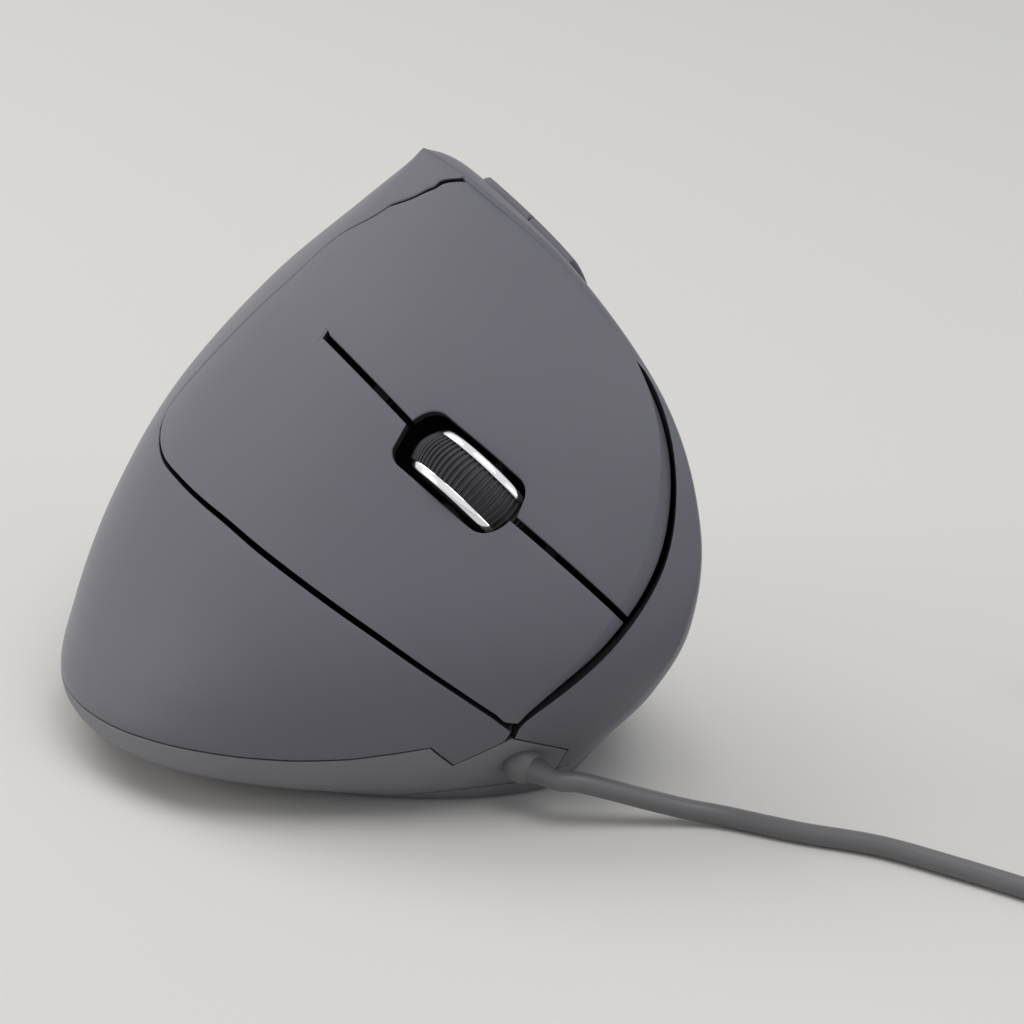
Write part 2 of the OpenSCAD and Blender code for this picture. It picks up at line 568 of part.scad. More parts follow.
module button_carrier() color([0.22, 0.22, 0.24]) {
  on_face() difference() {
    union() {
      translate([-12, -26, carrier_z - carrier_t]) cube([25, 41, carrier_t]);
      translate([-9, -48, carrier_z - carrier_t]) cube([18, 24, carrier_t]);
      for (x = [-9, 11]) for (y = [-15, 13]) translate([x, y, carrier_z - 0.5])
        cylinder(r = 2, h = 2, $fn = 32);
      for (s = [-1, 1]) translate([s > 0 ? lug_x : -lug_x - 2, pivot_y - 2.5, carrier_z - carrier_t])
        cube([2, 5, pivot_z + 2.5 - carrier_z + carrier_t]);
    }
    translate([-cheek_x + 1, -12, -40]) cube([2 * cheek_x - 2, 24, 40]);
    translate([0, pivot_y, pivot_z]) across(-20, 1.2 + run_gap, 40, 32);
    for (x = [-9, 11]) translate([x, -15, -40]) cylinder(d = 1.8, h = 40, $fn = 32);
  }
  for (p = legs) difference() {
    translate([p[0], p[1], deck_z]) difference() {
      translate([-4, -3.5, 0]) cube([8, 7, 60]);
      translate([0, 0, -1]) cylinder(d = screw_d + 2 * fit, h = 9, $fn = 48);
    }
    on_face() translate([-60, -90, carrier_z - carrier_t + 0.5]) cube([120, 160, 80]);
  }
}
module button_pcb() color([0.1, 0.3, 0.15]) {
  on_face() difference() {
    translate([0.5 - board_w / 2, 1 - board_l / 2, board_z - pcb_t]) cube([board_w, board_l, pcb_t]);
    translate([-cheek_x + 0.5, -11.5, -40]) cube([2 * cheek_x - 1, 22, 40]);
    for (x = [-9, 11]) translate([x, -15, -40]) cylinder(d = 2.4, h = 40, $fn = 32);
  }
}
module micro_switch(side) {
  on_face() translate([side * sw_x, sw_y, board_z]) {
    translate([-sw_w / 2, -sw_l / 2, 0]) cube([sw_w, sw_l, sw_h]);
    translate([-0.9, -1.3, 0]) cube([1.8, 2.6, sw_h + 0.8]);
  }
}
module left_switch() color([0.1, 0.1, 0.1]) micro_switch(-1);
module right_switch() color([0.1, 0.1, 0.1]) micro_switch(1);
module middle_switch() color([0.15, 0.15, 0.15]) {
  on_face() translate([0, 14, board_z]) {
    translate([-tact / 2, -tact / 2, 0]) cube([tact, tact, tact_h - 0.8]);
    cylinder(d = 3.2, h = tact_h, $fn = 32);
  }
}
module wheel_encoder() color([0.1, 0.1, 0.12]) {
  on_face() difference() {
    translate([cheek_x + cheek_t, -5, axle_z - 5]) cube([3.5, 10, 10]);
    translate([0, 0, axle_z]) across(0, axle_d / 2 + run_gap, 20, 48);
  }
}

// main board and what stands on it
module main_pcb() color([0.1, 0.3, 0.15]) {
  difference() {
    translate([main_at[0] - main_w / 2, main_at[1] - main_l / 2, deck_z]) cube([main_w, main_l, pcb_t]);
    translate([legs[1][0] - 4.5, legs[1][1] - 4, 0]) cube([9, 8, 20]);
    for (p = main_pins) translate([p[0], p[1], 0]) cylinder(d = 2.4, h = 20, $fn = 32);
    translate([sensor_at[0] - 4, sensor_at[1] - 3, 0]) cube([8, 6, 20]);
  }
}
module pan_screw() {
  cylinder(d = 1.7, h = 4, $fn = 32);
  translate([0, 0, 4]) cylinder(d = 3.6, h = 1.2, $fn = 32);
}
module board_screws() color([0.6, 0.6, 0.62]) {
  for (p = main_pins) translate([p[0], p[1], board_top - 4]) pan_screw();
  on_face() for (x = [-9, 11]) translate([x, -15, board_z - 4]) pan_screw();
}
module sensor_lens() color([0.85, 0.9, 0.95, 0.5]) {
  translate([sensor_at[0] - 9, sensor_at[1] - 6, floor_z]) cube([18, 12, 1.2]);
  translate([sensor_at[0] - 5.5, sensor_at[1] - 4.5, floor_z]) cube([11, 9, deck_z - floor_z]);
}
module sensor_chip() color([0.08, 0.08, 0.08]) {
  translate([sensor_at[0] - 5, sensor_at[1] - 5, board_top]) cube([10, 10, 3]);
}
module sensor_led() color([0.9, 0.2, 0.2]) {
  x = sensor_at[0] + 8;
  translate([x, sensor_at[1], board_top + 3]) rotate([0, 90, 0]) {
    cylinder(d = 5, h = 6, $fn = 32);
    translate([0, 0, 6]) cylinder(d = 5.8, h = 1, $fn = 32);
  }
  translate([x + 1, sensor_at[1] - 2, board_top]) cube([5, 4, 3]);
}
module controller_chip() color([0.08, 0.08, 0.08]) {
  translate([2, -30, board_top]) cube([7.6, 10, 1.8]);
}
module capacitor() color([0.15, 0.2, 0.4]) {
  translate([10, -10, board_top]) cylinder(d = 5, h = 8, $fn = 32);
}
header_at = [[-16, 8], [-16, -8]];
module main_headers() color([0.9, 0.9, 0.86]) {
  for (p = header_at) translate([p[0] - 2.5, p[1] - 5, board_top]) cube([5, 10, 5]);
}
module cord_header() color([0.9, 0.9, 0.86]) {
  translate([-2, 13, board_top]) cube([10, 6, 5.5]);
}

// soft runs: rings of a section carried along a route
function tan_at(P, i) = unit(P[min(i + 1, len(P) - 1)] - P[max(i - 1, 0)]);
module sweep(P, sec) {
  m = len(sec);
  n = len(P);
  pts = [for (i = [0:n - 1]) let (t = tan_at(P, i), a = unit(cross(t, [0, 0, 1])), b = cross(a, t))
    for (q = sec) P[i] + q[0] * a + q[1] * b];
  faces = concat(
    [for (i = [0:n - 2]) for (j = [0:m - 1]) let (a = i * m + j, b = i * m + (j + 1) % m)
      each [[a, b, b + m], [a, b + m, a + m]]],
    [for (j = [1:m - 2]) each [[0, j + 1, j], [(n - 1) * m, (n - 1) * m + j, (n - 1) * m + j + 1]]]);
  polyhedron(pts, faces, convexity = 6);
}
function round_sec(d, sides) = [for (k = [0:sides - 1]) let (a = k * 360 / sides) d / 2 * [cos(a), sin(a)]];
function smooth(P, n) = [for (k = [0:n]) curve(P, k / n)];
lead_flat = [[-4, -0.3], [4, -0.3], [4, 0.3], [-4, 0.3]];
lead_gap = 0.5;
lead_side = 4.2;
upper_route = [[-16, 8, board_top + 5 + lead_gap], [-17.5, 9, 24], [-22, 11, 36], [-25.2, 13, 44],
  from_face([0.5 - board_w / 2 - lead_side, -8, board_z - pcb_t / 2])];
side_route = [[-16, -8, board_top + 5 + lead_gap], [-18, -7.5, 24], [-24.5, -4, 38], [-25, 0, 46],
  [side_board_x - pcb_t / 2, 3, side_low - lead_gap]];
module upper_ribbon() color([0.75, 0.75, 0.75]) sweep(smooth(upper_route, 16), lead_flat);
module side_ribbon() color([0.75, 0.75, 0.75]) sweep(smooth(side_route, 16), lead_flat);
lead_route = [[3, 16, board_top + 5.5 + lead_gap], [3, 17, 17], [3.2, 22, 16.5], [3.2, 26, 11.5],
  exit_at - (8 + lead_gap) * exit_dir];
module inner_lead() color([0.2, 0.2, 0.2]) sweep(smooth(lead_route, 12), round_sec(2, 8));
module strain_relief() color([0.2, 0.2, 0.21]) {
  along_exit() rotate_extrude($fn = 48)
    polygon([[cord_d / 2 + fit, -7], [relief_r, -7], [relief_r, 1.5], [cord_d / 2 + 0.35, 6.5],
      [cord_d / 2 + fit, 6.5]]);
}

// free stretch of the cord, from the gate over the table to the coil
coil_c = [-66, 134];
lead = cord_d;
coil_pitch = cord_d + coil_gap;
layer_turns = coil_loops / 4;
coil_dr = (layer_turns - 0.5) * coil_pitch;
r_out = coil_mid / 2 + coil_dr / 2;
r_in = coil_mid / 2 - coil_dr / 2;
tie_t = 1;
coil_z = cord_d / 2 + tie_t + 0.4;
start_a = 17.5;
end_turn = coil_loops - 1 + (180 - start_a) / 360;
bump = 0.3 * coil_pitch;
function coil_pt(q) = let (
    k = min(3, floor(q / layer_turns)), w = q - k * layer_turns, m = layer_turns - 0.5, even = k % 2 == 0,
    t = (w - m) / 0.5, f = w / m, a = start_a + 360 * q,
    r = w <= m ? (even ? r_out - f * coil_dr : r_in + f * coil_dr)
      : (even ? r_in - bump * sin(180 * t) : r_out + bump * sin(180 * t)),
    z = k + (w <= m ? 0 : ramp(t)))
  [coil_c[0] + r * cos(a), coil_c[1] + r * sin(a), coil_z + z * coil_pitch];
start_dir = [-sin(start_a), cos(start_a), 0];
coil_from = coil_pt(0) - lead * start_dir;
cable_route = [exit_at - 8 * exit_dir, exit_at, exit_at + 7 * exit_dir, [-2.8, 47.3, 7], [-6.6, 50.2, 5.6],
  [-10.6, 53.2, 4], [-14.8, 56.6, 2.5], [-18.6, 60.8, cord_d / 2 + 0.2], [-23.5, 70.8, cord_d / 2],
  [-29.2, 81, cord_d / 2], [-33, 93, cord_d / 2], [-36, 104, cord_d / 2], [-39, 117, cord_d / 2 + 0.4],
  coil_from - 6 * start_dir, coil_from];
module cable() color([0.3, 0.3, 0.3])
  sweep(smooth(cable_route, 42), round_sec(cord_d, 8));
tail_l = 30;
plug_z = 4;
coil_end = coil_pt(end_turn);
function tail_pt(d) = let (f = ramp((d - lead) / (tail_l - 2 * lead)))
  [coil_end[0], coil_end[1] - d, lerp(coil_end[2], plug_z, f)];
coil_route = concat([coil_from], [for (k = [0:24 * end_turn]) coil_pt(k / 24)],
  [for (k = [0:8]) tail_pt(lerp(1, tail_l - lead, k / 8))], [tail_pt(tail_l)]);
module cable_coil() color([0.3, 0.3, 0.3]) {
  fine = [for (k = [0:48 * end_turn]) coil_pt(k / 48)];
  least = min([for (i = [0:2:len(fine) - 30]) for (j = [i + 24:len(fine) - 1]) norm(fine[i] - fine[j])]);
  echo(least_coil_gap = least - cord_d);
  sweep(coil_route, round_sec(cord_d, 6));
}
module cord_tie() color([0.15, 0.15, 0.16]) {
  w = 6;
  y0 = coil_c[1] - r_out - bump - cord_d / 2 - 0.6;
  y1 = coil_c[1] - r_in + bump + cord_d / 2 + 0.9;
  z1 = coil_z + 3 * coil_pitch + cord_d / 2 + 0.3;
  z0 = coil_z - cord_d / 2 - 0.3;
  difference() {
    translate([coil_c[0] - w / 2, y0 - tie_t, z0 - tie_t])
      cube([w, y1 - y0 + 2 * tie_t, z1 - z0 + 2 * tie_t]);
    translate([coil_c[0] - w, y0, z0]) cube([2 * w, y1 - y0, z1 - z0]);
  }
}
plug_y = coil_end[1] - tail_l;
plug_l = 24;
usb_w = 12;
usb_h = 4.5;
module usb_plug_body() color([0.2, 0.2, 0.21]) {
  difference() {
    union() {
      translate([coil_end[0] - 6.8, plug_y - plug_l, 0.2]) cube([13.6, plug_l - 5, 2 * plug_z - 0.4]);
      translate([coil_end[0], plug_y - 5.5, plug_z]) rotate([-90, 0, 0])
        cylinder(d1 = 6.5, d2 = 4.6, h = 5.5, $fn = 48);
    }
    translate([coil_end[0] - usb_w / 2 - fit, plug_y - plug_l - 1, plug_z - usb_h / 2 - fit])
      cube([usb_w + 2 * fit, 5, usb_h + 2 * fit]);
  }
}
module usb_plug_shell() color([0.75, 0.75, 0.77]) {
  y = plug_y - plug_l - 15;
  difference() {
    translate([coil_end[0] - usb_w / 2, y, plug_z - usb_h / 2]) cube([usb_w, 19, usb_h]);
    translate([coil_end[0] - usb_w / 2 + 0.3, y - 1, plug_z - usb_h / 2 + 0.3])
      cube([usb_w - 0.6, 19, usb_h - 0.6]);
    for (x = [-2.6, 2.6]) translate([coil_end[0] + x - 1.1, y + 6, plug_z]) cube([2.2, 2.2, 5]);
  }
}
module usb_plug_tongue() color([0.95, 0.95, 0.95]) {
  translate([coil_end[0] - usb_w / 2 + 0.3, plug_y - plug_l - 14, plug_z - usb_h / 2 + 0.3])
    cube([usb_w - 0.6, 17, 1.9]);
}

base_cover();
palm_shell();
thumb_shell();
finger_panel();
left_button();
right_button();
forward_button();
back_button();
wheel_hub();
wheel_tyre();
wheel_rings();
wheel_cradle();
wheel_encoder();
button_carrier();
button_pcb();
left_switch();
right_switch();
middle_switch();
side_pcb();
side_switches();
main_pcb();
sensor_chip();
sensor_lens();
sensor_led();
controller_chip();
capacitor();
main_headers();
cord_header();
upper_ribbon();
side_ribbon();
inner_lead();
base_screws();
board_screws();
glide_feet();
strain_relief();
cable();
cable_coil();
cord_tie();
usb_plug_body();
usb_plug_shell();
usb_plug_tongue();
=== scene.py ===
import math
import bmesh
import bpy
import numpy as np
from mathutils import Matrix, Vector


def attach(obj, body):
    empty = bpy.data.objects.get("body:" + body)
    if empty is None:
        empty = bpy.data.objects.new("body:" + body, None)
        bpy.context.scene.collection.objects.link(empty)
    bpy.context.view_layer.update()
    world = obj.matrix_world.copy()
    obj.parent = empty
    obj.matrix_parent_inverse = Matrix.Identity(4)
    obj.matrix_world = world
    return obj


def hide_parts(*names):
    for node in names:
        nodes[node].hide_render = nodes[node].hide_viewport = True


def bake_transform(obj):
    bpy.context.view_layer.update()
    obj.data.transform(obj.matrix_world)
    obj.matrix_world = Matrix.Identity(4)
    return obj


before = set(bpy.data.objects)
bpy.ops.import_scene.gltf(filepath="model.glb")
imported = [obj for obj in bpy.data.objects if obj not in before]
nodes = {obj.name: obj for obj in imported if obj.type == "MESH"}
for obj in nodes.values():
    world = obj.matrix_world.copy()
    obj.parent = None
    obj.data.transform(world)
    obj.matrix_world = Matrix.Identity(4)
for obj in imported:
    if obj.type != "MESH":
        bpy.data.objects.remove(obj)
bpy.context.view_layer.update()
mm = 0.001
print("frame loaded:", len(nodes), "nodes")

photoCamera = {"azimuth": 139.94, "elevation": 23.0, "distance": 602.3, "lens": 145.3, "sensor": 36,
               "target": (-15.72, 16.99, 35.17)}


def placeCamera(p):
    a, e = math.radians(p["azimuth"]), math.radians(p["elevation"])
    back = Vector((math.sin(a) * math.cos(e), -math.cos(a) * math.cos(e), math.sin(e)))
    data = bpy.data.cameras.new("photoCamera")
    data.lens, data.sensor_width = p["lens"], p["sensor"]
    data.clip_start, data.clip_end = 0.01, 20
    camera = bpy.data.objects.new("photoCamera", data)
    bpy.context.scene.collection.objects.link(camera)
    camera.location = (Vector(p["target"]) + back * p["distance"]) * mm
    camera.rotation_euler = (-back).to_track_quat("-Z", "Y").to_euler()
    bpy.context.scene.camera = camera


placeCamera(photoCamera)


def hexColor(text):
    parts = [int(text[i:i + 2], 16) / 255 for i in (1, 3, 5)]
    return tuple(p / 12.92 if p <= 0.04045 else ((p + 0.055) / 1.055) ** 2.4 for p in parts) + (1.0,)


def addNode(tree, kind, values=None, links=None, **settings):
    made = tree.nodes.new(kind)
    for key, value in settings.items():
        setattr(made, key, value)
    for key, value in (values or {}).items():
        made.inputs[key].default_value = value
    for key, source in (links or {}).items():
        tree.links.new(source, made.inputs[key])
    return made


def perMetre(sizeMm):
    return 1000 / sizeMm  # texture scale for a feature of that size


def finish(name, light, dark, rough, grain, bump, patch=12, spread=0.06, metal=0, stretch=(1, 1, 1), extras=None):
    # two close tones in broad patches, a fine grain for bump and gloss; sizes in mm
    material = bpy.data.materials.new(name)
    material.use_nodes = True
    tree = material.node_tree
    tree.nodes.clear()
    place = addNode(tree, "ShaderNodeTexCoord").outputs["Object"]
    turned = addNode(tree, "ShaderNodeMapping", {"Scale": stretch}, {"Vector": place}).outputs["Vector"]
    broad = addNode(tree, "ShaderNodeTexNoise", {"Scale": perMetre(patch), "Detail": 2.0}, {"Vector": place})
    fine = addNode(tree, "ShaderNodeTexNoise", {"Scale": perMetre(grain), "Detail": 3.0}, {"Vector": turned})
    tone = addNode(tree, "ShaderNodeMix", {6: hexColor(dark), 7: hexColor(light)},
                   {0: broad.outputs["Fac"]}, data_type="RGBA")
    gloss = addNode(tree, "ShaderNodeMapRange", {"To Min": rough - spread, "To Max": rough + spread},
                    {"Value": fine.outputs["Fac"]})
    relief = addNode(tree, "ShaderNodeBump", {"Strength": 0.5, "Distance": bump * mm},
                     {"Height": fine.outputs["Fac"]})
    shader = addNode(tree, "ShaderNodeBsdfPrincipled", {"Metallic": metal, **(extras or {})},
                     {"Base Color": tone.outputs[2], "Roughness": gloss.outputs["Result"],
                      "Normal": relief.outputs["Normal"]})
    addNode(tree, "ShaderNodeOutputMaterial", links={"Surface": shader.outputs["BSDF"]})
    return material


# soft-touch lacquer sprayed over moulded ABS: matte, a faint violet cast, a soft sheen at grazing angles
softTouch = finish("softTouchLacquerOnAbs", "#5f5e67", "#5a5962", 0.55, 0.35, 0.012, patch=20,
                   extras={"Sheen Weight": 0.25, "Sheen Roughness": 0.35})
# spark-eroded mould texture on ABS: grittier and a little lighter than the lacquer
baseAbs = finish("sparkTexturedAbs", "#75757a", "#6d6d72", 0.55, 0.5, 0.02)
# polished ABS: thumb keys in the body's tone, a little smoother than the lacquer
keyAbs = finish("polishedAbs", "#5f5e67", "#5a5962", 0.42, 0.6, 0.006)
# moulded black ABS: hub, cradle and carrier; also painted shade on the shells' walls and insides, which stay
# unlacquered and dark so that every seam shows as a dark line
blackAbsSeamShade = finish("mouldedBlackAbsSeamShade", "#232326", "#1d1d20", 0.5, 0.4, 0.02)
# compression-moulded silicone rubber: dull black with a dusty bloom
tyreRubber = finish("siliconeRubber", "#29292c", "#202023", 0.62, 0.3, 0.02, patch=3)
# bright chrome on plastic: mirror with a trace of haze
ringChrome = finish("chromePlatedAbs", "#f2f2f3", "#e6e6e8", 0.09, 0.8, 0.002, spread=0.03, metal=1)
# extruded PVC jacket: satin grey, for the cord and its collar
cordPvc = finish("extrudedPvcJacket", "#68686a", "#5f5f61", 0.45, 0.4, 0.012, patch=8)
# moulded PVC: plug body and inner lead
plugPvc = finish("mouldedPvc", "#4a4a4d", "#434346", 0.5, 0.5, 0.02)
# zinc-plated steel: turned heads with fine rings
screwSteel = finish("zincPlatedSteel", "#b4b5b8", "#a0a1a6", 0.32, 0.3, 0.004, metal=1, stretch=(1, 1, 6))
# nickel-plated sheet steel: rolled grain along the plug
plugNickel = finish("nickelPlatedSteel", "#c9c8c4", "#bdbcb8", 0.24, 0.25, 0.003, metal=1, stretch=(5, 1, 5))
# skived PTFE sheet: waxy dark glide pads
glidePtfe = finish("skivedPtfe", "#2b2b2d", "#242426", 0.42, 0.7, 0.01, stretch=(1, 6, 1))
# woven nylon hook-and-loop tie: fuzzy dark nap
tieNylon = finish("wovenNylonTie", "#2c2c2e", "#1b1b1d", 0.85, 0.4, 0.12, patch=1,
                  extras={"Sheen Weight": 0.4, "Sheen Roughness": 0.5})
# black solder mask over glass laminate: glossy, with copper lanes showing as faint ridges
boardMask = finish("solderMaskLaminate", "#1a1f1c", "#111412", 0.28, 1.2, 0.03, patch=1.6, stretch=(1, 0.15, 1))
# transfer-moulded epoxy: chip bodies
chipEpoxy = finish("mouldedEpoxy", "#2a2a2c", "#232325", 0.6, 0.2, 0.01)
# injection-moulded natural nylon: connector bodies and plug tongue
nylonNatural = finish("naturalNylon", "#dcd8c8", "#cfcab8", 0.45, 0.6, 0.01)
# flat PVC ribbon cable: ribbed grey
ribbonPvc = finish("ribbonPvc", "#a9a9ab", "#8f8f92", 0.5, 1.0, 0.05, stretch=(1, 0.1, 0.1))
# red-tinted clear epoxy: sensor lamp
ledEpoxy = finish("tintedEpoxy", "#b02020", "#8c1616", 0.15, 0.5, 0.004, extras={"Transmission Weight": 0.5})
# moulded polycarbonate: clear lens
lensPc = finish("clearPolycarbonate", "#e8eef2", "#dfe7ec", 0.06, 0.5, 0.002, spread=0.02,
                extras={"Transmission Weight": 0.9, "IOR": 1.58})
print("materials made:", len(bpy.data.materials))


def meshObject(name, points, faces, material, smoothAngle=40, bareShadedWalls=None):
    mesh = bpy.data.meshes.new(name)
    mesh.from_pydata([tuple(p) for p in np.asarray(points) * mm], [], faces)
    if bareShadedWalls is not None:
        mesh.polygons.foreach_set("material_index", bareShadedWalls)  # 1 on walls and insides: unlacquered black ABS, dark as painted shade in the seams
    mesh.update()
    made = bpy.data.objects.new(name, mesh)
    bpy.context.scene.collection.objects.link(made)
    work = bmesh.new()
    work.from_mesh(mesh)
    bmesh.ops.remove_doubles(work, verts=work.verts, dist=1e-7)
    if work.calc_volume(signed=True) < 0:
        bmesh.ops.reverse_faces(work, faces=work.faces)
    work.to_mesh(mesh)
    work.free()
    mesh.shade_smooth()
    mesh.set_sharp_from_angle(angle=math.radians(smoothAngle))
    mesh.materials.append(material)
    if bareShadedWalls is not None:
        mesh.materials.append(blackAbsSeamShade)
    return made


def settled(piece, smoothAngle=40):
    graph = bpy.context.evaluated_depsgraph_get()
    mesh = bpy.data.meshes.new_from_object(piece.evaluated_get(graph))
    piece.modifiers.clear()
    piece.data = mesh
    mesh.shade_smooth()
    mesh.set_sharp_from_angle(angle=math.radians(smoothAngle))
    return piece


def cutFrom(piece, cutter, solver="EXACT"):
    tool = piece.modifiers.new("cut", "BOOLEAN")
    tool.operation, tool.solver, tool.object = "DIFFERENCE", solver, cutter
    settled(piece)
    bpy.data.objects.remove(cutter)
    return piece


def stands(piece, body, slot, *replaced):
    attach(piece, body)
    if replaced:
        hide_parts(*replaced)
    return piece


# the body skin: loft stations of height, right, left, front, rear, axis x, axis y, four corner fullness values
bodyForm = {
    "footProud": 0.5, "wall": 2.0, "seam": 0.3, "seamShow": 0.2, "topV": 7.96, "height": 80, "lip": 0.18,
    "ridgeDrop": 0.55, "ridgeFade": 0.1, "ridgeFrom": 60.5, "ridgeEase": 3, "gapTop": 61,
    "thumbFrom": 65, "thumbTo": 270,
    "stations": [
        [0, 26, -36, 35.5, -50, -7, -8.5, 0.68, 0.60, 0.58, 0.52],
        [6, 40, -40.5, 39.5, -54, -9.5, -6, 0.68, 0.60, 0.58, 0.52],
        [15.5, 39, -39.5, 47.5, -55, -12.5, -3.5, 0.68, 0.60, 0.60, 0.52],
        [28, 31.5, -35.5, 54.5, -55, -15, -3.5, 0.72, 0.62, 0.63, 0.52],
        [41.5, 19.5, -33.5, 53, -52.5, -19.5, -6.5, 0.83, 0.67, 0.69, 0.56],
        [56.5, 3.5, -35, 42, -42, -23, -9.5, 0.93, 0.73, 0.75, 0.61],
        [69.5, -13, -34, 19.5, -28, -25.5, -12.5, 1.0, 0.78, 0.80, 0.66],
        [77, -23, -31.5, -3, -19, -26, -15, 1.0, 0.82, 0.85, 0.70],
        [79.5, -27, -27, -17, -17, -27, -17, 1.0, 0.84, 0.86, 0.71]]}
stations = np.array(bodyForm["stations"], float)
stations[:, 0] += bodyForm["footProud"]
seam = bodyForm["seam"]


def cubic(a, slopeA, b, slopeB, t):
    t2, t3 = t * t, t * t * t
    return (2 * t3 - 3 * t2 + 1) * a + (t3 - 2 * t2 + t) * slopeA + (3 * t2 - 2 * t3) * b + (t3 - t2) * slopeB


def hermite(points, k, t, last):
    a, b = points[k], points[k + 1]
    slopeA = np.where((k == 0)[..., None], b - a, (b - points[np.maximum(k - 1, 0)]) / 2)
    slopeB = np.where((k == last)[..., None], b - a, (points[np.minimum(k + 2, last + 1)] - a) / 2)
    return cubic(a, slopeA, b, slopeB, t[..., None])


def curveAt(points, t):  # smooth curve through listed points, t from 0 to 1
    points = np.asarray(points, float)
    n = len(points) - 1
    x = np.clip(np.asarray(t, float) * n, 0, n - 1e-9)
    k = np.floor(x).astype(int)
    return hermite(points, k, x - k, n - 1)


def lineAt(points, t):
    points = np.asarray(points, float)
    x = np.asarray(t, float) * (len(points) - 1)
    return np.stack([np.interp(x, np.arange(len(points)), points[:, c]) for c in range(points.shape[1])], -1)


def softLookup(x, pairs):  # smooth curve over unevenly spaced pairs
    px, py = np.array(pairs, float).T
    slope = np.gradient(py, px)
    x = np.clip(x, px[0], px[-1])
    k = np.clip(np.searchsorted(px, x, side="right") - 1, 0, len(px) - 2)
    h = px[k + 1] - px[k]
    return cubic(py[k], h * slope[k], py[k + 1], h * slope[k + 1], (x - px[k]) / h)


def seamAt(line, t):  # smooth parting line through uneven points of angle and height
    line = np.asarray(line, float)
    n = len(line) - 1
    # slopes are weighted by true distance on the skin, so close points make no ripple
    chord = np.linalg.norm(np.diff(skinPoint(line[:, 0], vAt(line[:, 1])), axis=0), axis=1)[:, None] + 1e-6
    rate = np.diff(line, axis=0) / chord
    inner = (chord[1:] * rate[:-1] + chord[:-1] * rate[1:]) / (chord[1:] + chord[:-1])
    slope = np.concatenate([rate[:1], inner, rate[-1:]])
    x = np.clip(np.asarray(t, float) * n, 0, n - 1e-9)
    k = np.floor(x).astype(int)
    return cubic(line[k], chord[k] * slope[k], line[k + 1], chord[k] * slope[k + 1], (x - k)[..., None])


def lookup(x, pairs):
    px, py = np.array(pairs, float).T
    return np.interp(x, px, py)


def loftRow(v):
    v = np.clip(np.asarray(v, float), 0, 8)
    k = np.clip(np.floor(v).astype(int), 0, 7)
    return hermite(stations, k, v - k, 7)


def skinPoint(th, v):
    th, v = np.broadcast_arrays(np.asarray(th, float), np.asarray(v, float))
    r = loftRow(v)
    c, s = np.cos(np.radians(th)), np.sin(np.radians(th))
    full = np.where(c >= 0, np.where(s >= 0, r[..., 7], r[..., 8]), np.where(s >= 0, r[..., 9], r[..., 10]))
    a = np.where(c >= 0, r[..., 1] - r[..., 5], r[..., 5] - r[..., 2])
    b = np.where(s >= 0, r[..., 3] - r[..., 6], r[..., 6] - r[..., 4])
    return np.stack([r[..., 5] + np.sign(c) * a * np.abs(c) ** (2 * full), r[..., 6] + b * s, r[..., 0]], -1)


vSamples = np.linspace(0, 8, 8001)
zSamples = np.maximum.accumulate(loftRow(vSamples)[:, 0])


def vAt(z):
    return np.interp(z, zSamples, vSamples)


def unit(p):
    return p / np.linalg.norm(p, axis=-1, keepdims=True)


def smoothStep(x):
    x = np.clip(x, 0, 1)
    return x * x * (3 - 2 * x)


def wrapped(th):
    return (np.asarray(th, float) + 180) % 360 - 180


def outDir(th, v):
    f = wrapped(th)
    near = np.abs(np.abs(f) - 90) < 1.5
    q = np.where(near, f + np.where(np.abs(f) < 90, -1, 1) * np.sign(f) * 1.5, f)
    w = np.clip(v, 0.03, 7.9)
    across = skinPoint(q + 0.4, w) - skinPoint(q - 0.4, w)
    along = skinPoint(q, w + 0.02) - skinPoint(q, w - 0.02)
    return unit(np.cross(across, along))


def wallDir(th, v):  # outward; near the sharp ridge the wall is measured straight down
    n, f = outDir(th, v), wrapped(th)
    z = loftRow(v)[..., 0] / bodyForm["height"]
    front = smoothStep((z - 0.55) / 0.2) * smoothStep(1.25 - np.abs(f - 90) / 28)
    rear = smoothStep((z - 0.62) / 0.22) * smoothStep(1.25 - np.abs(f + 90) / 28)
    w = np.maximum(front, rear)[..., None]
    d = unit(n * (1 - w) + np.array([0, 0, 1.0]) * w)
    return d / np.maximum(0.6, np.sum(d * n, -1, keepdims=True))


def rimLines(nominal, length, lips, radius, pinned):
    # lines across a patch, with extra ones where a rounded rim needs them; returns params and rim share
    arc = np.radians([90, 66, 44, 22, 0])
    steps = radius * (1 - np.sin(arc))
    length = np.asarray(length, float)[None, :]
    inner = np.asarray(nominal, float)[1:-1, None]
    start, end = (radius if lips[0] else 0), (radius if lips[1] else 0)
    body = np.broadcast_to(inner, (len(inner), length.shape[1])) if pinned else (
        inner * (length - start - end) + start) / length
    head = steps[:, None] / length if lips[0] else np.zeros_like(length)
    tail = 1 - (steps[::-1, None] / length if lips[1] else np.zeros_like(length))
    share = np.concatenate([np.sin(arc) if lips[0] else [0], np.zeros(len(inner)),
                            np.sin(arc[::-1]) if lips[1] else [0]])
    return np.concatenate([head, body, tail]), share


def spans(points, axis):
    return np.linalg.norm(np.diff(points, axis=axis), axis=-1).sum(axis)


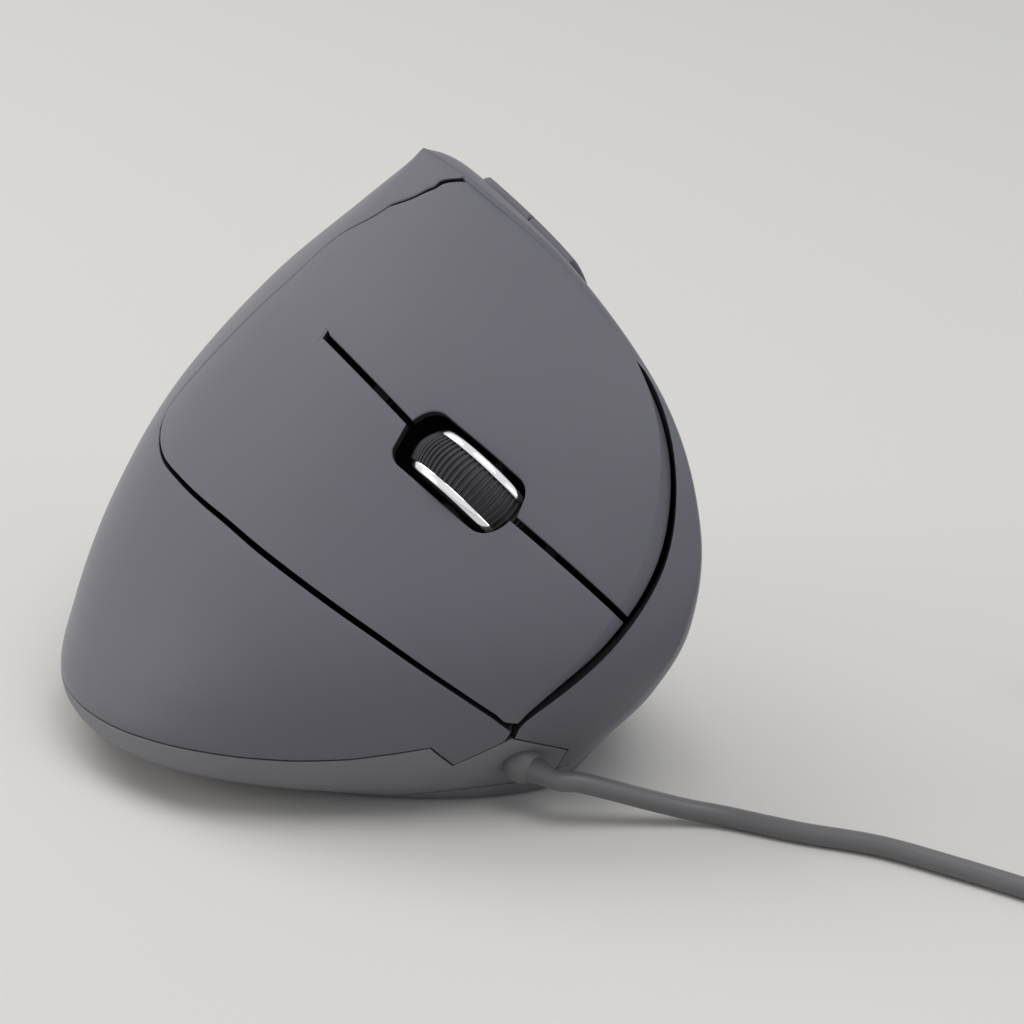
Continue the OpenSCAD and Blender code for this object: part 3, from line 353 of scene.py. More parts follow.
def patchGrid(place, sLines, tLines, lips, radius):
    # place(s, t) gives angle and station; lips are s start, s end, t start, t end
    s0, t0 = np.meshgrid(sLines, tLines, indexing="ij")
    flat = skinPoint(*place(s0, t0))
    sMap, sShare = rimLines(sLines, np.maximum(spans(flat, 0), 4 * radius), lips[:2], radius, True)
    tMap, tShare = rimLines(tLines, np.maximum(spans(flat, 1), 4 * radius), lips[2:], radius, False)
    rowAt = np.clip(np.interp(sMap.mean(1), sLines, np.arange(len(sLines))), 0, len(sLines) - 1)
    colAt = np.clip(np.interp(tMap.mean(1), tLines, np.arange(len(tLines))), 0, len(tLines) - 1)
    s = np.stack([np.interp(colAt, np.arange(len(tLines)), row) for row in sMap])
    t = np.stack([np.interp(rowAt, np.arange(len(sLines)), row) for row in tMap]).T
    e = np.minimum(1, np.hypot(sShare[:, None], tShare[None, :]))
    return s, t, radius * (1 - np.sqrt(1 - e * e))


def shellFaces(rows, cols):
    o = rows * cols
    quads = []
    for i in range(rows - 1):
        for j in range(cols - 1):
            a = i * cols + j
            quads.append((a, a + 1, a + cols + 1, a + cols))
            quads.append((o + a, o + a + cols, o + a + cols + 1, o + a + 1))
    for j in range(cols - 1):
        a, d = j, (rows - 1) * cols + j
        quads.append((a + 1, a, o + a, o + a + 1))
        quads.append((d, d + 1, o + d + 1, o + d))
    for i in range(rows - 1):
        a, b = i * cols, i * cols + cols - 1
        quads.append((a, a + cols, o + a + cols, o + a))
        quads.append((b + cols, b, o + b, o + b + cols))
    return quads


def shellPiece(name, outer, inner, material, darkWalls=True):
    rows, cols = outer.shape[:2]
    points = np.concatenate([outer.reshape(-1, 3), inner.reshape(-1, 3)])
    faces = shellFaces(rows, cols)
    # walls and inner faces get the black ABS: painted shade that darkens the seams between the shells
    bareShadedWalls = np.ones(len(faces), int)
    bareShadedWalls[0:2 * (rows - 1) * (cols - 1):2] = 0  # the outer quads
    return meshObject(name, points, faces, material, bareShadedWalls=bareShadedWalls if darkWalls else None)


def skinPiece(name, place, sLines, tLines, lips, thick, raised=None):
    radius = bodyForm["lip"]
    s, t, drop = patchGrid(place, sLines, tLines, lips, radius)
    th, v = place(s, t)
    base, out = skinPoint(th, v), wallDir(th, v)
    lift = raised(s, t) if raised else 0
    return shellPiece(name, base + (lift - drop)[..., None] * out, base - thick * out, softTouch)


# parting lines in angle and height, shared by the shells, the base and the panel
baseLine = [[-90, 7.5], [-58, 7.8], [-35, 8.5], [-10, 9.7], [8, 10.6], [19, 10.9], [27, 11], [35, 11.2], [42, 11.7],
            [48, 12.7], [52.5, 13.5], [59, 9.4], [64.5, 14], [73, 11.2], [81.5, 8.5], [84.2, 4.4], [100, 4.4],
            [130, 5], [160, 6], [200, 7], [270, 7.5]]
gapLine = [[14, 65], [16, 64.2], [18, 64.8], [20.5, 66.2], [24, 68.1], [30, 71.3], [36, 74], [43, 76.8],
           [48, 78.8], [52, 80.8], [56, 83.6], [59, 87], [61, 90], [80, 90]]
gapShare = [[14, 0.5], [20.5, 0.53], [24, 0.58], [30, 0.7], [36, 0.75], [43, 0.7], [48, 0.57], [52, 0.47], [61, 0.42],
            [64, 0.42]]
gapRate = [[14, 1.5], [30, 1.5], [43, 1.8], [48, 2.2], [52, 2.8], [56, 3.3], [59, 4.4], [61, 5.4], [64, 5.4]]
palmOuter = [[90, 79.9], [0, 79.9], [-60, 79.8], [-90, 79], [-90, 76], [-90, 72], [-90, 64], [-90, 55],
             [-90, 45], [-90, 34], [-90, 22], [-90, 7.5], [-75, 7.6], [-58, 7.8], [-35, 8.5], [-10, 9.7],
             [8, 10.6], [19, 10.9], [27, 11], [35, 11.2], [42, 11.7], [48, 12.7], [52.5, 13.5], [56, 11.3],
             [59, 9.4], [63.7, 13.4]]
palmInner = [[90, 78.45], [45, 77.95], [22, 76.78], [8, 75.15], [-8, 72.5], [-25, 69.2], [-30, 62], [-33, 55],
             [-35.2, 48.3], [-36, 45.3], [-35.5, 42.7], [-33, 41.3], [-29, 40.6], [-22, 39.9], [-11, 39.6],
             [3, 38.4], [12, 36.5], [20, 34.4], [27.3, 32.1], [34.5, 29.5], [42, 26.3], [50, 22.5], [55, 19.9],
             [58.5, 18], [61, 16.5], [63.3, 15.2]]


def palmPlace(s, t):
    q = lineAt(palmOuter, s) * (1 - t[..., None]) + seamAt(palmInner, s) * t[..., None]
    return q[..., 0], vAt(q[..., 1])


def gapEdge(z):
    return np.where(z > bodyForm["gapTop"], 90, softLookup(z, gapLine[:-1]))


def thumbPlace(f, g):
    start, end = bodyForm["thumbFrom"], bodyForm["thumbTo"]
    vBase = vAt(lookup(start + (end - start) * g, baseLine))
    vStart = vAt(lookup(start, baseLine))
    zFront = loftRow(vStart + (bodyForm["topV"] - vStart) * f)[..., 0]
    front = gapEdge(zFront)
    return front + (end - front) * g, vBase + (bodyForm["topV"] - vBase) * f


def thumbRidge(f, g):  # the edge is eased down along the ridge, as the panel's is
    z = loftRow(thumbPlace(f, g * 0)[1])[..., 0]
    return -bodyForm["ridgeDrop"] * smoothStep((z - bodyForm["ridgeFrom"]) / bodyForm["ridgeEase"]) * np.maximum(
        0, 1 - g / bodyForm["ridgeFade"])


palmShell = skinPiece("palmShell", palmPlace, np.linspace(0, 1, 201), np.linspace(0, 1, 30), (0, 1, 1, 1),
                      bodyForm["wall"])
thumbFrom, thumbTo = bodyForm["thumbFrom"], bodyForm["thumbTo"]
corners = [(a - thumbFrom) / (thumbTo - thumbFrom) for a, _ in baseLine if thumbFrom < a < thumbTo]
thumbShell = skinPiece("thumbShell", thumbPlace, np.linspace(0, 1, 70),
                       np.unique(np.concatenate([np.linspace(0, 1, 90), corners])), (1, 1, 0, 1), bodyForm["wall"],
                       thumbRidge)
print("shells lofted")

# finger face frame: x toward the lower finger, y toward the nose, z out of the panel
faceTurn = {"roll": 38, "pitch": 28, "yaw": 11, "wheelAngle": 37, "wheelHeight": 48.8}
faceRotation = (Matrix.Rotation(math.radians(-faceTurn["yaw"]), 3, "Z")
                @ Matrix.Rotation(math.radians(faceTurn["roll"]), 3, "Y")
                @ Matrix.Rotation(math.radians(-faceTurn["pitch"]), 3, "X"))
wheelAt = skinPoint(faceTurn["wheelAngle"], vAt(faceTurn["wheelHeight"])) + np.array([seam / 2, 0, 0])
faceAxes = np.array(faceRotation).T  # rows are the frame's axes


def fromFace(p):
    return wheelAt + np.asarray(p, float) @ faceAxes


def toFace(p):
    return (p - wheelAt) @ faceAxes.T


fingerPanel = {"noseGap": 1.5, "lowGap": 0.6, "slot": 1.0, "bevelWidth": 3.2, "bevelDepth": 1.0, "ridgeWidth": 2.6,
               "ridgeDepth": 0.55, "thick": 1.3, "span": 48, "run": 62, "hingeU": 0.28, "ridgeAngle": 88.5,
               "windowLength": 21.8, "windowWidth": 10, "windowEnd": 3.8, "windowBack": 0.9, "windowFull": 2.3,
               "slotLine": [[-41, -3.5], [-34, -2.9], [-4, 0], [6, 0], [45, -0.9]],
               "slotEnd": 0.75, "slotEndLength": 0.5, "ridgeFoot": 63,
               "lap": 0.0032, "lapStep": 0.0003, "lapDrop": 0.05}
creaseZ = [78.14, 76.9, 75.3, 73.5, 71.4, 69, 66.3, 63.2]
frontZ = [63.2, 61, 59, 56, 52, 48, 43, 36, 30, 24, 20.5, 18, 16.8]


def frontAngle(z):
    return fingerPanel["ridgeAngle"] if z > fingerPanel["ridgeFoot"] else float(
        gapEdge(np.array(z)) - fingerPanel["noseGap"] * lookup(z, gapShare) * lookup(z, gapRate))


panelUpper = np.array([[fingerPanel["ridgeAngle"], z] for z in creaseZ], float)
panelFront = np.array([[frontAngle(z), z] for z in frontZ], float)
thin = bodyForm["seamShow"]
panelLow = np.array([panelFront[12] if i == 25 else
                     np.array(palmInner[i]) + [2.4 * thin if i == 11 else 0,
                                               1.2 * fingerPanel["lowGap"] * min(1, (i - 8) / 8)]
                     for i in range(11, 26)])
panelRear = np.array([panelUpper[0] if i == 0 else panelLow[0] if i == 11 else
                      np.array(palmInner[i]) + thin * np.array([0, -1.3] if i < 3 else [0.6, -1.2] if i == 3 else
                                                               [1.4, -1] if i == 4 else [2.4, -0.6])
                      for i in range(12)])


def mixed(a, b, t):
    return a + (b - a) * t


def panelPlace(u, w):
    u1, w1 = u[..., None], w[..., None]
    q = (mixed(seamAt(panelUpper, u), seamAt(panelLow, u), w1)
         + mixed(seamAt(panelRear, w), seamAt(panelFront, w), u1)
         - mixed(mixed(panelUpper[0], panelUpper[7], u1), mixed(panelLow[0], panelFront[12], u1), w1))
    return q[..., 0], vAt(q[..., 1])


def panelBevel(u, w):
    p = fingerPanel
    ridge = p["ridgeDepth"] * (1 - w * p["span"] / p["ridgeWidth"])
    front = p["bevelDepth"] * (1 - (1 - u) * p["run"] / p["bevelWidth"]) * (1 - smoothStep((w - 0.75) / 0.25))
    return -np.maximum(0, np.maximum(ridge, front))


def panelFacePoint(u, w):
    return toFace(skinPoint(*panelPlace(u, w)) + np.array([seam / 2, 0, 0]))


def slotHalf(y):  # half the width of the wheel's window
    p = fingerPanel
    end = p["windowLength"] / 2 - p["windowEnd"]
    past = np.clip((np.abs(y + p["windowBack"]) - end) / p["windowEnd"], 0, 1)
    window = p["windowWidth"] / 2 * (1 - past ** p["windowFull"]) ** (1 / p["windowFull"])
    return np.where(past < 1, window, -99)  # no window there: the slot line alone decides


def slotBorder(u, side):
    # the share of the panel's width where a button stops, found by halving
    p = fingerPanel
    low, high = np.zeros_like(u), np.ones_like(u)
    for _ in range(40):
        w = (low + high) / 2
        q = panelFacePoint(u, w)
        centre = lookup(q[..., 1], p["slotLine"])
        half = np.where(q[..., 1] < slotFoot + p["slotEndLength"], p["slotEnd"], p["slot"] / 2)
        edge = (np.maximum(centre + half, slotHalf(q[..., 1])) if side > 0
                else np.minimum(centre - half, -slotHalf(q[..., 1])))
        inside = q[..., 0] < edge
        low, high = np.where(inside, w, low), np.where(inside, high, w)
    return (low + high) / 2


def slotFootAt(u):
    low, high = 0.0, 1.0
    for _ in range(40):
        w = (low + high) / 2
        q = panelFacePoint(np.array(u), np.array(w))
        low, high = (w, high) if q[0] < lookup(q[1], fingerPanel["slotLine"]) else (low, w)
    return float(panelFacePoint(np.array(u), np.array(w))[1])


slotFoot = slotFootAt(fingerPanel["hingeU"])  # face y where the slot ends


def buttonLines():
    # lines along the panel, closer together at the ends of the window and of the slot
    p = fingerPanel
    u = np.linspace(p["hingeU"], 1, 3000)
    half = p["windowLength"] / 2
    fine = half - np.array([0, 0.02, 0.06, 0.15, 0.3, 0.55, 0.9, 1.4, 2, 2.8, 3.8])
    bar = slotFoot + p["slotEndLength"]
    marks = np.concatenate([fine - p["windowBack"], -fine - p["windowBack"],
                            [bar - 0.01, bar + 0.01, slotFoot + 0.25]])
    found = []
    for side in (1, -1):
        y = panelFacePoint(u, slotBorder(u, side))[..., 1]
        order = np.argsort(y)
        found.append(np.interp(marks, y[order], u[order]))
    even = np.linspace(p["hingeU"], 1, 64)
    bevel = 1 - p["bevelWidth"] / p["run"] * np.array([1.04, 1, 0.96])
    return np.unique(np.concatenate([even, bevel] + found).round(7))


buttonU = buttonLines()


def buttonPlace(side):
    grid = np.linspace(fingerPanel["hingeU"], 1, 3000)
    grid = np.unique(np.concatenate([grid, buttonU]))
    border = slotBorder(grid, side)

    def place(s, t):
        edge = np.interp(s, grid, border)
        return panelPlace(s, t * edge if side < 0 else edge + (1 - edge) * t)

    def raised(s, t):
        edge = np.interp(s, grid, border)
        return panelBevel(s, t * edge if side < 0 else edge + (1 - edge) * t)

    return place, raised


def pinnedSkin(name, side):
    place, raised = buttonPlace(side)
    hinge = fingerPanel["hingeU"]
    span = 1 - hinge
    scaled = (buttonU - hinge) / span
    wide = np.linspace(0, 1, 30)
    return skinPiece(name, lambda s, t: place(hinge + s * span, t), scaled, wide, (0, 1, int(side > 0), 1),
                     fingerPanel["thick"], lambda s, t: raised(hinge + s * span, t))


leftSkin = pinnedSkin("leftButtonSkin", -1)
rightSkin = pinnedSkin("rightButtonSkin", 1)
hingeU = fingerPanel["hingeU"]
lapStep = fingerPanel["lapStep"]
rearEnd = hingeU + fingerPanel["lap"]  # a little under the buttons, so no crack shows along the root
rearSkin = skinPiece("fingerPanelRear", lambda s, t: panelPlace(s * rearEnd, t),
                     np.append(np.linspace(0, hingeU / rearEnd, 24), [(hingeU + lapStep) / rearEnd, 1]),
                     np.linspace(0, 1, 48), (1, 0, 0, 1), fingerPanel["thick"],
                     lambda s, t: panelBevel(s * rearEnd, t) - fingerPanel["lapDrop"] * (
                         s * rearEnd > hingeU + lapStep / 3))
print("finger panel split; slot ends at", round(slotFoot, 2))

thumbKeys = {"start": (-7.2, 4.45), "length": (11.4, 10.4), "height": 9, "drop": 1.8, "proud": 0.9, "gap": 0.3,
             "lip": 0.45, "depth": 1.8}
creaseSamples = np.linspace(45, 79, 600)
creaseFront = loftRow(vAt(creaseSamples))[:, 3]


def sidePlace(y, k):
    z = np.interp(-y, -creaseFront, creaseSamples) - thumbKeys["drop"] - thumbKeys["height"] * k
    v = vAt(z)
    r = loftRow(v)
    b = np.where(y >= r[..., 6], r[..., 3] - r[..., 6], r[..., 6] - r[..., 4])
    return 180 - np.degrees(np.arcsin(np.clip((y - r[..., 6]) / b, -1, 1))), v


def sidePad(name, y0, length, k0, k1, low, high, radius, material):
    place = lambda s, t: sidePlace(y0 + length * s, k0 + (k1 - k0) * t)
    lines = np.linspace(0, 1, 24)
    s, t, drop = patchGrid(place, lines, lines, (1, 1, 1, 1), radius)
    th, v = place(s, t)
    base, out = skinPoint(th, v), outDir(th, v)
    return shellPiece(name, base + (high - drop)[..., None] * out, base + low * out, material, False)


def thumbButtons(p):
    share = p["gap"] / p["height"]
    run = p["start"][1] - p["start"][0] + p["length"][1] + 2 * p["gap"]
    opening = sidePad("opening", p["start"][0] - p["gap"], run, -share, 1 + share, -5, 5, 0.05, softTouch)
    cutFrom(thumbShell, opening, "MANIFOLD")
    return [sidePad(name, y, length, 0, 1, -p["depth"], p["proud"], p["lip"], keyAbs)
            for name, y, length in zip(("backButtonPad", "forwardButtonPad"), p["start"], p["length"])]


backPad, forwardPad = thumbButtons(thumbKeys)
print("thumb buttons set in")

basePan = {"floor": 2.0, "lip": 0.2, "tongue": 1.6, "groove": 0.25,
           "tongueGap": 0.35, "tongueThick": 0.8,
           "grooveLine": [[-90, 1.4], [30, 1.2], [45, 1.4], [60, 2.9], [81.5, 2.7], [95, 1.5], [270, 1.4]],
           "exit": (1, 38, 8.15), "exitDir": (-0.8, 4, -0.5), "bore": 2.15,
           "posts": [(21, -18), (21, 6), (-30, -16), (-29, 10)],
           "legFace": (8, -40), "legDepth": -20.6, "screw": 2.6, "head": 4.8, "headDepth": 1.6,
           "sensor": (-2, 0), "sensorHole": (8, 6), "footClear": 0.1,
           "feet": [(-6, 15, 0), (-8, -40, 0), (12.5, -6, 90), (-24, -3, 90)], "footLength": 18, "footWidth": 8}
screwSpots = [Vector((x, y)) for x, y in basePan["posts"]] + [
    Vector(fromFace((0, y, basePan["legDepth"]))[:2]) for y in basePan["legFace"]]
exitAt = np.array(basePan["exit"], float)
exitDir = unit(np.array(basePan["exitDir"], float))


def tubeFaces(rings, sides, closed=False, capped=True):
    # quads between rings of points; a closed run joins its last ring to its first, an open one may get flat ends
    faces = [(i * sides + j, i * sides + (j + 1) % sides,
              (i + 1) % rings * sides + (j + 1) % sides, (i + 1) % rings * sides + j)
             for i in range(rings if closed else rings - 1) for j in range(sides)]
    if capped and not closed:
        faces += [tuple(range(sides))[::-1], tuple((rings - 1) * sides + j for j in range(sides))]
    return faces


def baseTray(p):
    th = np.unique(np.concatenate([np.arange(-90, 270, 2.5), [a for a, _ in baseLine[:-1]]]))
    rimZ = lookup(th, baseLine) - bodyForm["seamShow"]
    low, floorZ = bodyForm["footProud"], bodyForm["footProud"] + p["floor"]

    def inward(v):
        d = skinPoint(th + 0.5, v) - skinPoint(th - 0.5, v)
        return -unit(np.stack([d[:, 1], -d[:, 0], np.zeros(len(th))], -1))

    rows = []
    groove = softLookup(th, p["grooveLine"])
    for z, depth in [(low, 0.0), (low + 0.2, 0), (groove - 0.2, 0), (groove - 0.1, p["groove"]),
                     (groove + 0.1, p["groove"]), (groove + 0.2, 0)]:
        v = vAt(np.zeros(len(th)) + z)
        rows.append(skinPoint(th, v) + depth * inward(v))
    for f in np.linspace(0.08, 0.9, 12):
        rows.append(skinPoint(th, vAt(mixed(groove + 0.2, rimZ, f))))
    for a in np.radians([0, 22, 44, 66, 90]):
        v = vAt(rimZ - p["lip"] * (1 - np.sin(a)))
        rows.append(skinPoint(th, v) + p["lip"] * (1 - np.cos(a)) * inward(v))
    rim, tip = vAt(rimZ), vAt(rimZ + p["tongue"])
    behind = bodyForm["wall"] + p["tongueGap"]
    rows.append(skinPoint(th, rim) + behind * inward(rim))
    rows.append(skinPoint(th, tip) + behind * inward(tip))
    rows.append(skinPoint(th, tip) + (behind + p["tongueThick"]) * inward(tip))
    mid = vAt(mixed(floorZ, rimZ, 0.6))
    rows.append(skinPoint(th, mid) + (behind + 0.9) * inward(mid))
    bed = vAt(np.full(len(th), floorZ))
    rows.append(skinPoint(th, bed) + (behind + 1.4) * inward(bed))
    n, m = len(th), len(rows)
    points = np.concatenate(rows + [[[0, 0, low], [0, 0, floorZ]]])
    faces = tubeFaces(m, n, capped=False)
    faces += [(m * n, (j + 1) % n, j) for j in range(n)]
    faces += [(m * n + 1, (m - 1) * n + j, (m - 1) * n + (j + 1) % n) for j in range(n)]
    return meshObject("baseCover", points, faces, baseAbs, 35)


def lathe(profile, sides):
    # rings of (radius, height) pairs about Z, closed at both ends
    a = np.linspace(0, 2 * np.pi, sides, endpoint=False)
    points = [(r * math.cos(x), r * math.sin(x), h) for r, h in profile for x in a]
    return np.array(points, float), tubeFaces(len(profile), sides)


def joined(parts):
    points, faces, start = [], [], 0
    for p, f in parts:
        points.append(np.asarray(p, float))
        faces += [tuple(start + i for i in face) for face in f]
        start += len(p)
    return np.concatenate(points), faces


def blockPart(low, high):
    (a, b, c), (d, e, f) = low, high
    points = [(a, b, c), (d, b, c), (d, e, c), (a, e, c), (a, b, f), (d, b, f), (d, e, f), (a, e, f)]
    return points, [(0, 3, 2, 1), (4, 5, 6, 7), (0, 1, 5, 4), (1, 2, 6, 5), (2, 3, 7, 6), (3, 0, 4, 7)]


def padPart(x, y, turn, length, width, rings):
    # stadium outline drawn as rings of (inset, height)
    c = (length - width) / 2
    a = np.linspace(-np.pi / 2, np.pi / 2, 17)
    points = []
    for inset, z in rings:
        r = width / 2 - inset
        right = np.stack([c + r * np.cos(a), r * np.sin(a)], -1)
        points += [(px, py, z) for px, py in np.concatenate([right, -right])]
    points = np.array(points)
    t = math.radians(turn)
    turned = np.array([[math.cos(t), math.sin(t)], [-math.sin(t), math.cos(t)]])
    points[:, :2] = points[:, :2] @ turned + (x, y)
    return points, tubeFaces(len(rings), 2 * len(a))


def along(points, at, direction):
    turn = np.array(Vector(direction).to_track_quat("Z", "Y").to_matrix())
    return np.asarray(points) @ turn.T + np.asarray(at)


def baseOpenings(p):
    low = bodyForm["footProud"]
    seat = low + p["headDepth"]
    hole = [(p["head"] / 2, -1), (p["head"] / 2, seat), (p["screw"] / 2, seat), (p["screw"] / 2, 12)]
    parts = []
    for spot in screwSpots:
        points, faces = lathe(hole, 32)
        parts.append((points + [spot.x, spot.y, 0], faces))
    (sx, sy), (wide, deep) = p["sensor"], p["sensorHole"]
    parts.append(blockPart((sx - wide / 2, sy - deep / 2, -1), (sx + wide / 2, sy + deep / 2, 6)))
    points, faces = lathe([(p["bore"], -9), (p["bore"], 9)], 40)
    parts.append((along(points, exitAt, exitDir), faces))
    for x, y, turn in p["feet"]:
        parts.append(padPart(x, y, turn, p["footLength"] + p["footClear"], p["footWidth"] + p["footClear"],
                             [(0, -1), (0, low + 0.5)]))
    return meshObject("openings", *joined(parts), baseAbs)


baseCover = cutFrom(baseTray(basePan), baseOpenings(basePan))
footRings = [(0.6, 0), (0.25, 0.05), (0, 0.3), (0, bodyForm["footProud"] + 0.5)]
glideFeet = meshObject("glideFeet", *joined([padPart(x, y, t, basePan["footLength"], basePan["footWidth"], footRings)
                                             for x, y, t in basePan["feet"]]), glidePtfe)
print("base and feet made")


def nodeGroup(name, inputs):
    tree = bpy.data.node_groups.new(name, "GeometryNodeTree")
    tree.interface.new_socket("Geometry", in_out="OUTPUT", socket_type="NodeSocketGeometry")
    for label, kind in inputs:
        tree.interface.new_socket(label, in_out="INPUT", socket_type=kind)
    return tree, tree.nodes.new("NodeGroupInput"), tree.nodes.new("NodeGroupOutput")


def grown(piece, tree, values):
    # sets the inputs by identifier, then turns the result into a plain mesh
    tool = piece.modifiers.new(tree.name, "NODES")
    tool.node_group = tree
    for item in tree.interface.items_tree:
        if item.in_out == "INPUT" and item.name in values:
            tool[item.identifier] = values[item.name]
    return settled(piece)


scrollWheel = {"radius": 11, "proud": 3, "tyreWidth": 5.2, "tyreThick": 2.2, "ribs": 70, "ribWidth": 0.5,
               "ribHeight": 0.35, "crown": 0.7, "ringWidth": 1.2, "ringInset": 0.5, "ringSlope": 0.4}
axleZ = scrollWheel["proud"] - scrollWheel["radius"]


def onAxle(points):  # from a Z axle to the wheel's own place
    points = np.asarray(points, float)
    local = np.stack([points[:, 2], points[:, 1], -points[:, 0] + axleZ], -1)
    return fromFace(local)


def moveToAxle(piece):
    co = np.array([v.co for v in piece.data.vertices]) / mm
    for vert, p in zip(piece.data.vertices, onAxle(co) * mm):
        vert.co = p
    piece.data.update()


def ringPart(profile, sides):  # closed lathe of a closed profile
    points, _ = lathe(profile, sides)
    return points, tubeFaces(len(profile), sides, closed=True)


def tyreTree():
    tree, given, out = nodeGroup("tyreRibs", [
        ("Tyre", "NodeSocketGeometry"), ("Rib Count", "NodeSocketInt"), ("Rib Circle", "NodeSocketFloat"),
        ("Rib Radius", "NodeSocketFloat"), ("Rib End", "NodeSocketVector"), ("Rib Start", "NodeSocketVector"),
        ("Rib Bow", "NodeSocketVector"), ("Rubber", "NodeSocketMaterial")])
    circle = addNode(tree, "GeometryNodeMeshCircle", links={
        "Vertices": given.outputs["Rib Count"], "Radius": given.outputs["Rib Circle"]}, fill_type="NONE")
    bow = addNode(tree, "GeometryNodeCurveQuadraticBezier", {"Resolution": 8}, {
        "Start": given.outputs["Rib Start"], "Middle": given.outputs["Rib Bow"], "End": given.outputs["Rib End"]})
    section = addNode(tree, "GeometryNodeCurvePrimitiveCircle", {"Resolution": 8}, {
        "Radius": given.outputs["Rib Radius"]})
    bar = addNode(tree, "GeometryNodeCurveToMesh", {"Fill Caps": True}, {
        "Curve": bow.outputs["Curve"], "Profile Curve": section.outputs["Curve"]})
    spot = addNode(tree, "GeometryNodeInputPosition")
    turn = addNode(tree, "FunctionNodeAlignRotationToVector", links={"Vector": spot.outputs["Position"]}, axis="X",
                   pivot_axis="Z")
    ribs = addNode(tree, "GeometryNodeInstanceOnPoints", links={
        "Points": circle.outputs["Mesh"], "Instance": bar.outputs["Mesh"], "Rotation": turn.outputs["Rotation"]})
    both = addNode(tree, "GeometryNodeJoinGeometry", links={"Geometry": ribs.outputs["Instances"]})
    tree.links.new(given.outputs["Tyre"], both.inputs["Geometry"])
    real = addNode(tree, "GeometryNodeRealizeInstances", links={"Geometry": both.outputs["Geometry"]})
    dressed = addNode(tree, "GeometryNodeSetMaterial", links={
        "Geometry": real.outputs["Geometry"], "Material": given.outputs["Rubber"]})
    tree.links.new(dressed.outputs["Geometry"], out.inputs["Geometry"])
    return tree


def wheelPieces(p):
    half, outer = p["tyreWidth"] / 2, p["radius"] - p["ribHeight"]
    core = p["radius"] - p["tyreThick"]
    crown = [(outer - p["crown"] * x * x, x * half) for x in np.linspace(-1, 1, 15)]
    profile = [(core, -half)] + crown + [(core, half)]
    tyre = meshObject("wheelTyre", *ringPart(profile, 140), tyreRubber)
    ribAt = p["radius"] - p["ribWidth"] / 2
    end = half - 0.1
    grown(tyre, tyreTree(), {
        "Rib Count": p["ribs"], "Rib Circle": ribAt * mm, "Rib Radius": p["ribWidth"] / 2 * mm,
        "Rib Start": (-p["crown"] * mm, 0, -end * mm), "Rib End": (-p["crown"] * mm, 0, end * mm),
        "Rib Bow": (p["crown"] * mm, 0, 0), "Rubber": tyreRubber})
    moveToAxle(tyre)
    top, w, fall = p["radius"] - p["ringInset"], p["ringWidth"], p["ringSlope"]
    parts = []
    for side in (-1, 1):
        bow = [(core, 0), (top - 0.2, 0), (top - 0.04, 0.07), (top, 0.22), (top - 0.1 * fall, 0.5),
               (top - 0.45 * fall, 0.85), (top - 0.75 * fall, 1.05), (top - fall - 0.05, w - 0.03),
               (top - fall - 0.25, w), (core, w)]
        points, faces = ringPart([(r, side * (half + h)) for r, h in bow], 160)
        parts.append((points, faces if side > 0 else [f[::-1] for f in faces]))
    rings = meshObject("wheelRings", *joined(parts), ringChrome)
    moveToAxle(rings)
    return tyre, rings


wheelTyre, wheelRings = wheelPieces(scrollWheel)
print("scroll wheel ribbed")


def screwTree():
    tree, given, out = nodeGroup("screwHeads", [
        ("Spots", "NodeSocketGeometry"), ("Screw", "NodeSocketObject"), ("Steel", "NodeSocketMaterial")])
    shape = addNode(tree, "GeometryNodeObjectInfo", links={"Object": given.outputs["Screw"]})
    placed = addNode(tree, "GeometryNodeInstanceOnPoints", links={
        "Points": given.outputs["Spots"], "Instance": shape.outputs["Geometry"]})
    real = addNode(tree, "GeometryNodeRealizeInstances", links={"Geometry": placed.outputs["Instances"]})
    dressed = addNode(tree, "GeometryNodeSetMaterial", links={
        "Geometry": real.outputs["Geometry"], "Material": given.outputs["Steel"]})
    tree.links.new(dressed.outputs["Geometry"], out.inputs["Geometry"])
    return tree


screwForm = {"head": 4.4, "headHeight": 1.3, "shank": 2.3, "length": 9, "recess": 0.7, "cross": 0.55, "arm": 1.3}


def baseScrews(p):
    r, z = p["head"] / 2, bodyForm["footProud"] + 0.3
    profile = [(r - 0.5, z), (r - 0.15, z + 0.12), (r, z + 0.4), (r, z + p["headHeight"]),
               (p["shank"] / 2, z + p["headHeight"]), (p["shank"] / 2, z + p["headHeight"] + p["length"])]
    one = meshObject("screwShape", *lathe(profile, 32), screwSteel)
    arm, half, deep = p["arm"], p["cross"] / 2, z + p["recess"]
    crossOutline = [(arm, -half), (arm, half), (half, half), (half, arm), (-half, arm), (-half, half),
                    (-arm, half), (-arm, -half), (-half, -half), (-half, -arm), (half, -arm), (half, -half)]
    points = [(x, y, h) for h in (z - 0.5, deep) for x, y in crossOutline]
    cutFrom(one, meshObject("recess", points, tubeFaces(2, len(crossOutline)), screwSteel))
    spots = bpy.data.meshes.new("baseScrews")
    spots.from_pydata([(s.x * mm, s.y * mm, 0) for s in screwSpots], [], [])
    made = bpy.data.objects.new("baseScrews", spots)
    bpy.context.scene.collection.objects.link(made)
    grown(made, screwTree(), {"Screw": one, "Steel": screwSteel})
    bpy.data.objects.remove(one)
    return made


screws = baseScrews(screwForm)
print("base screws placed")

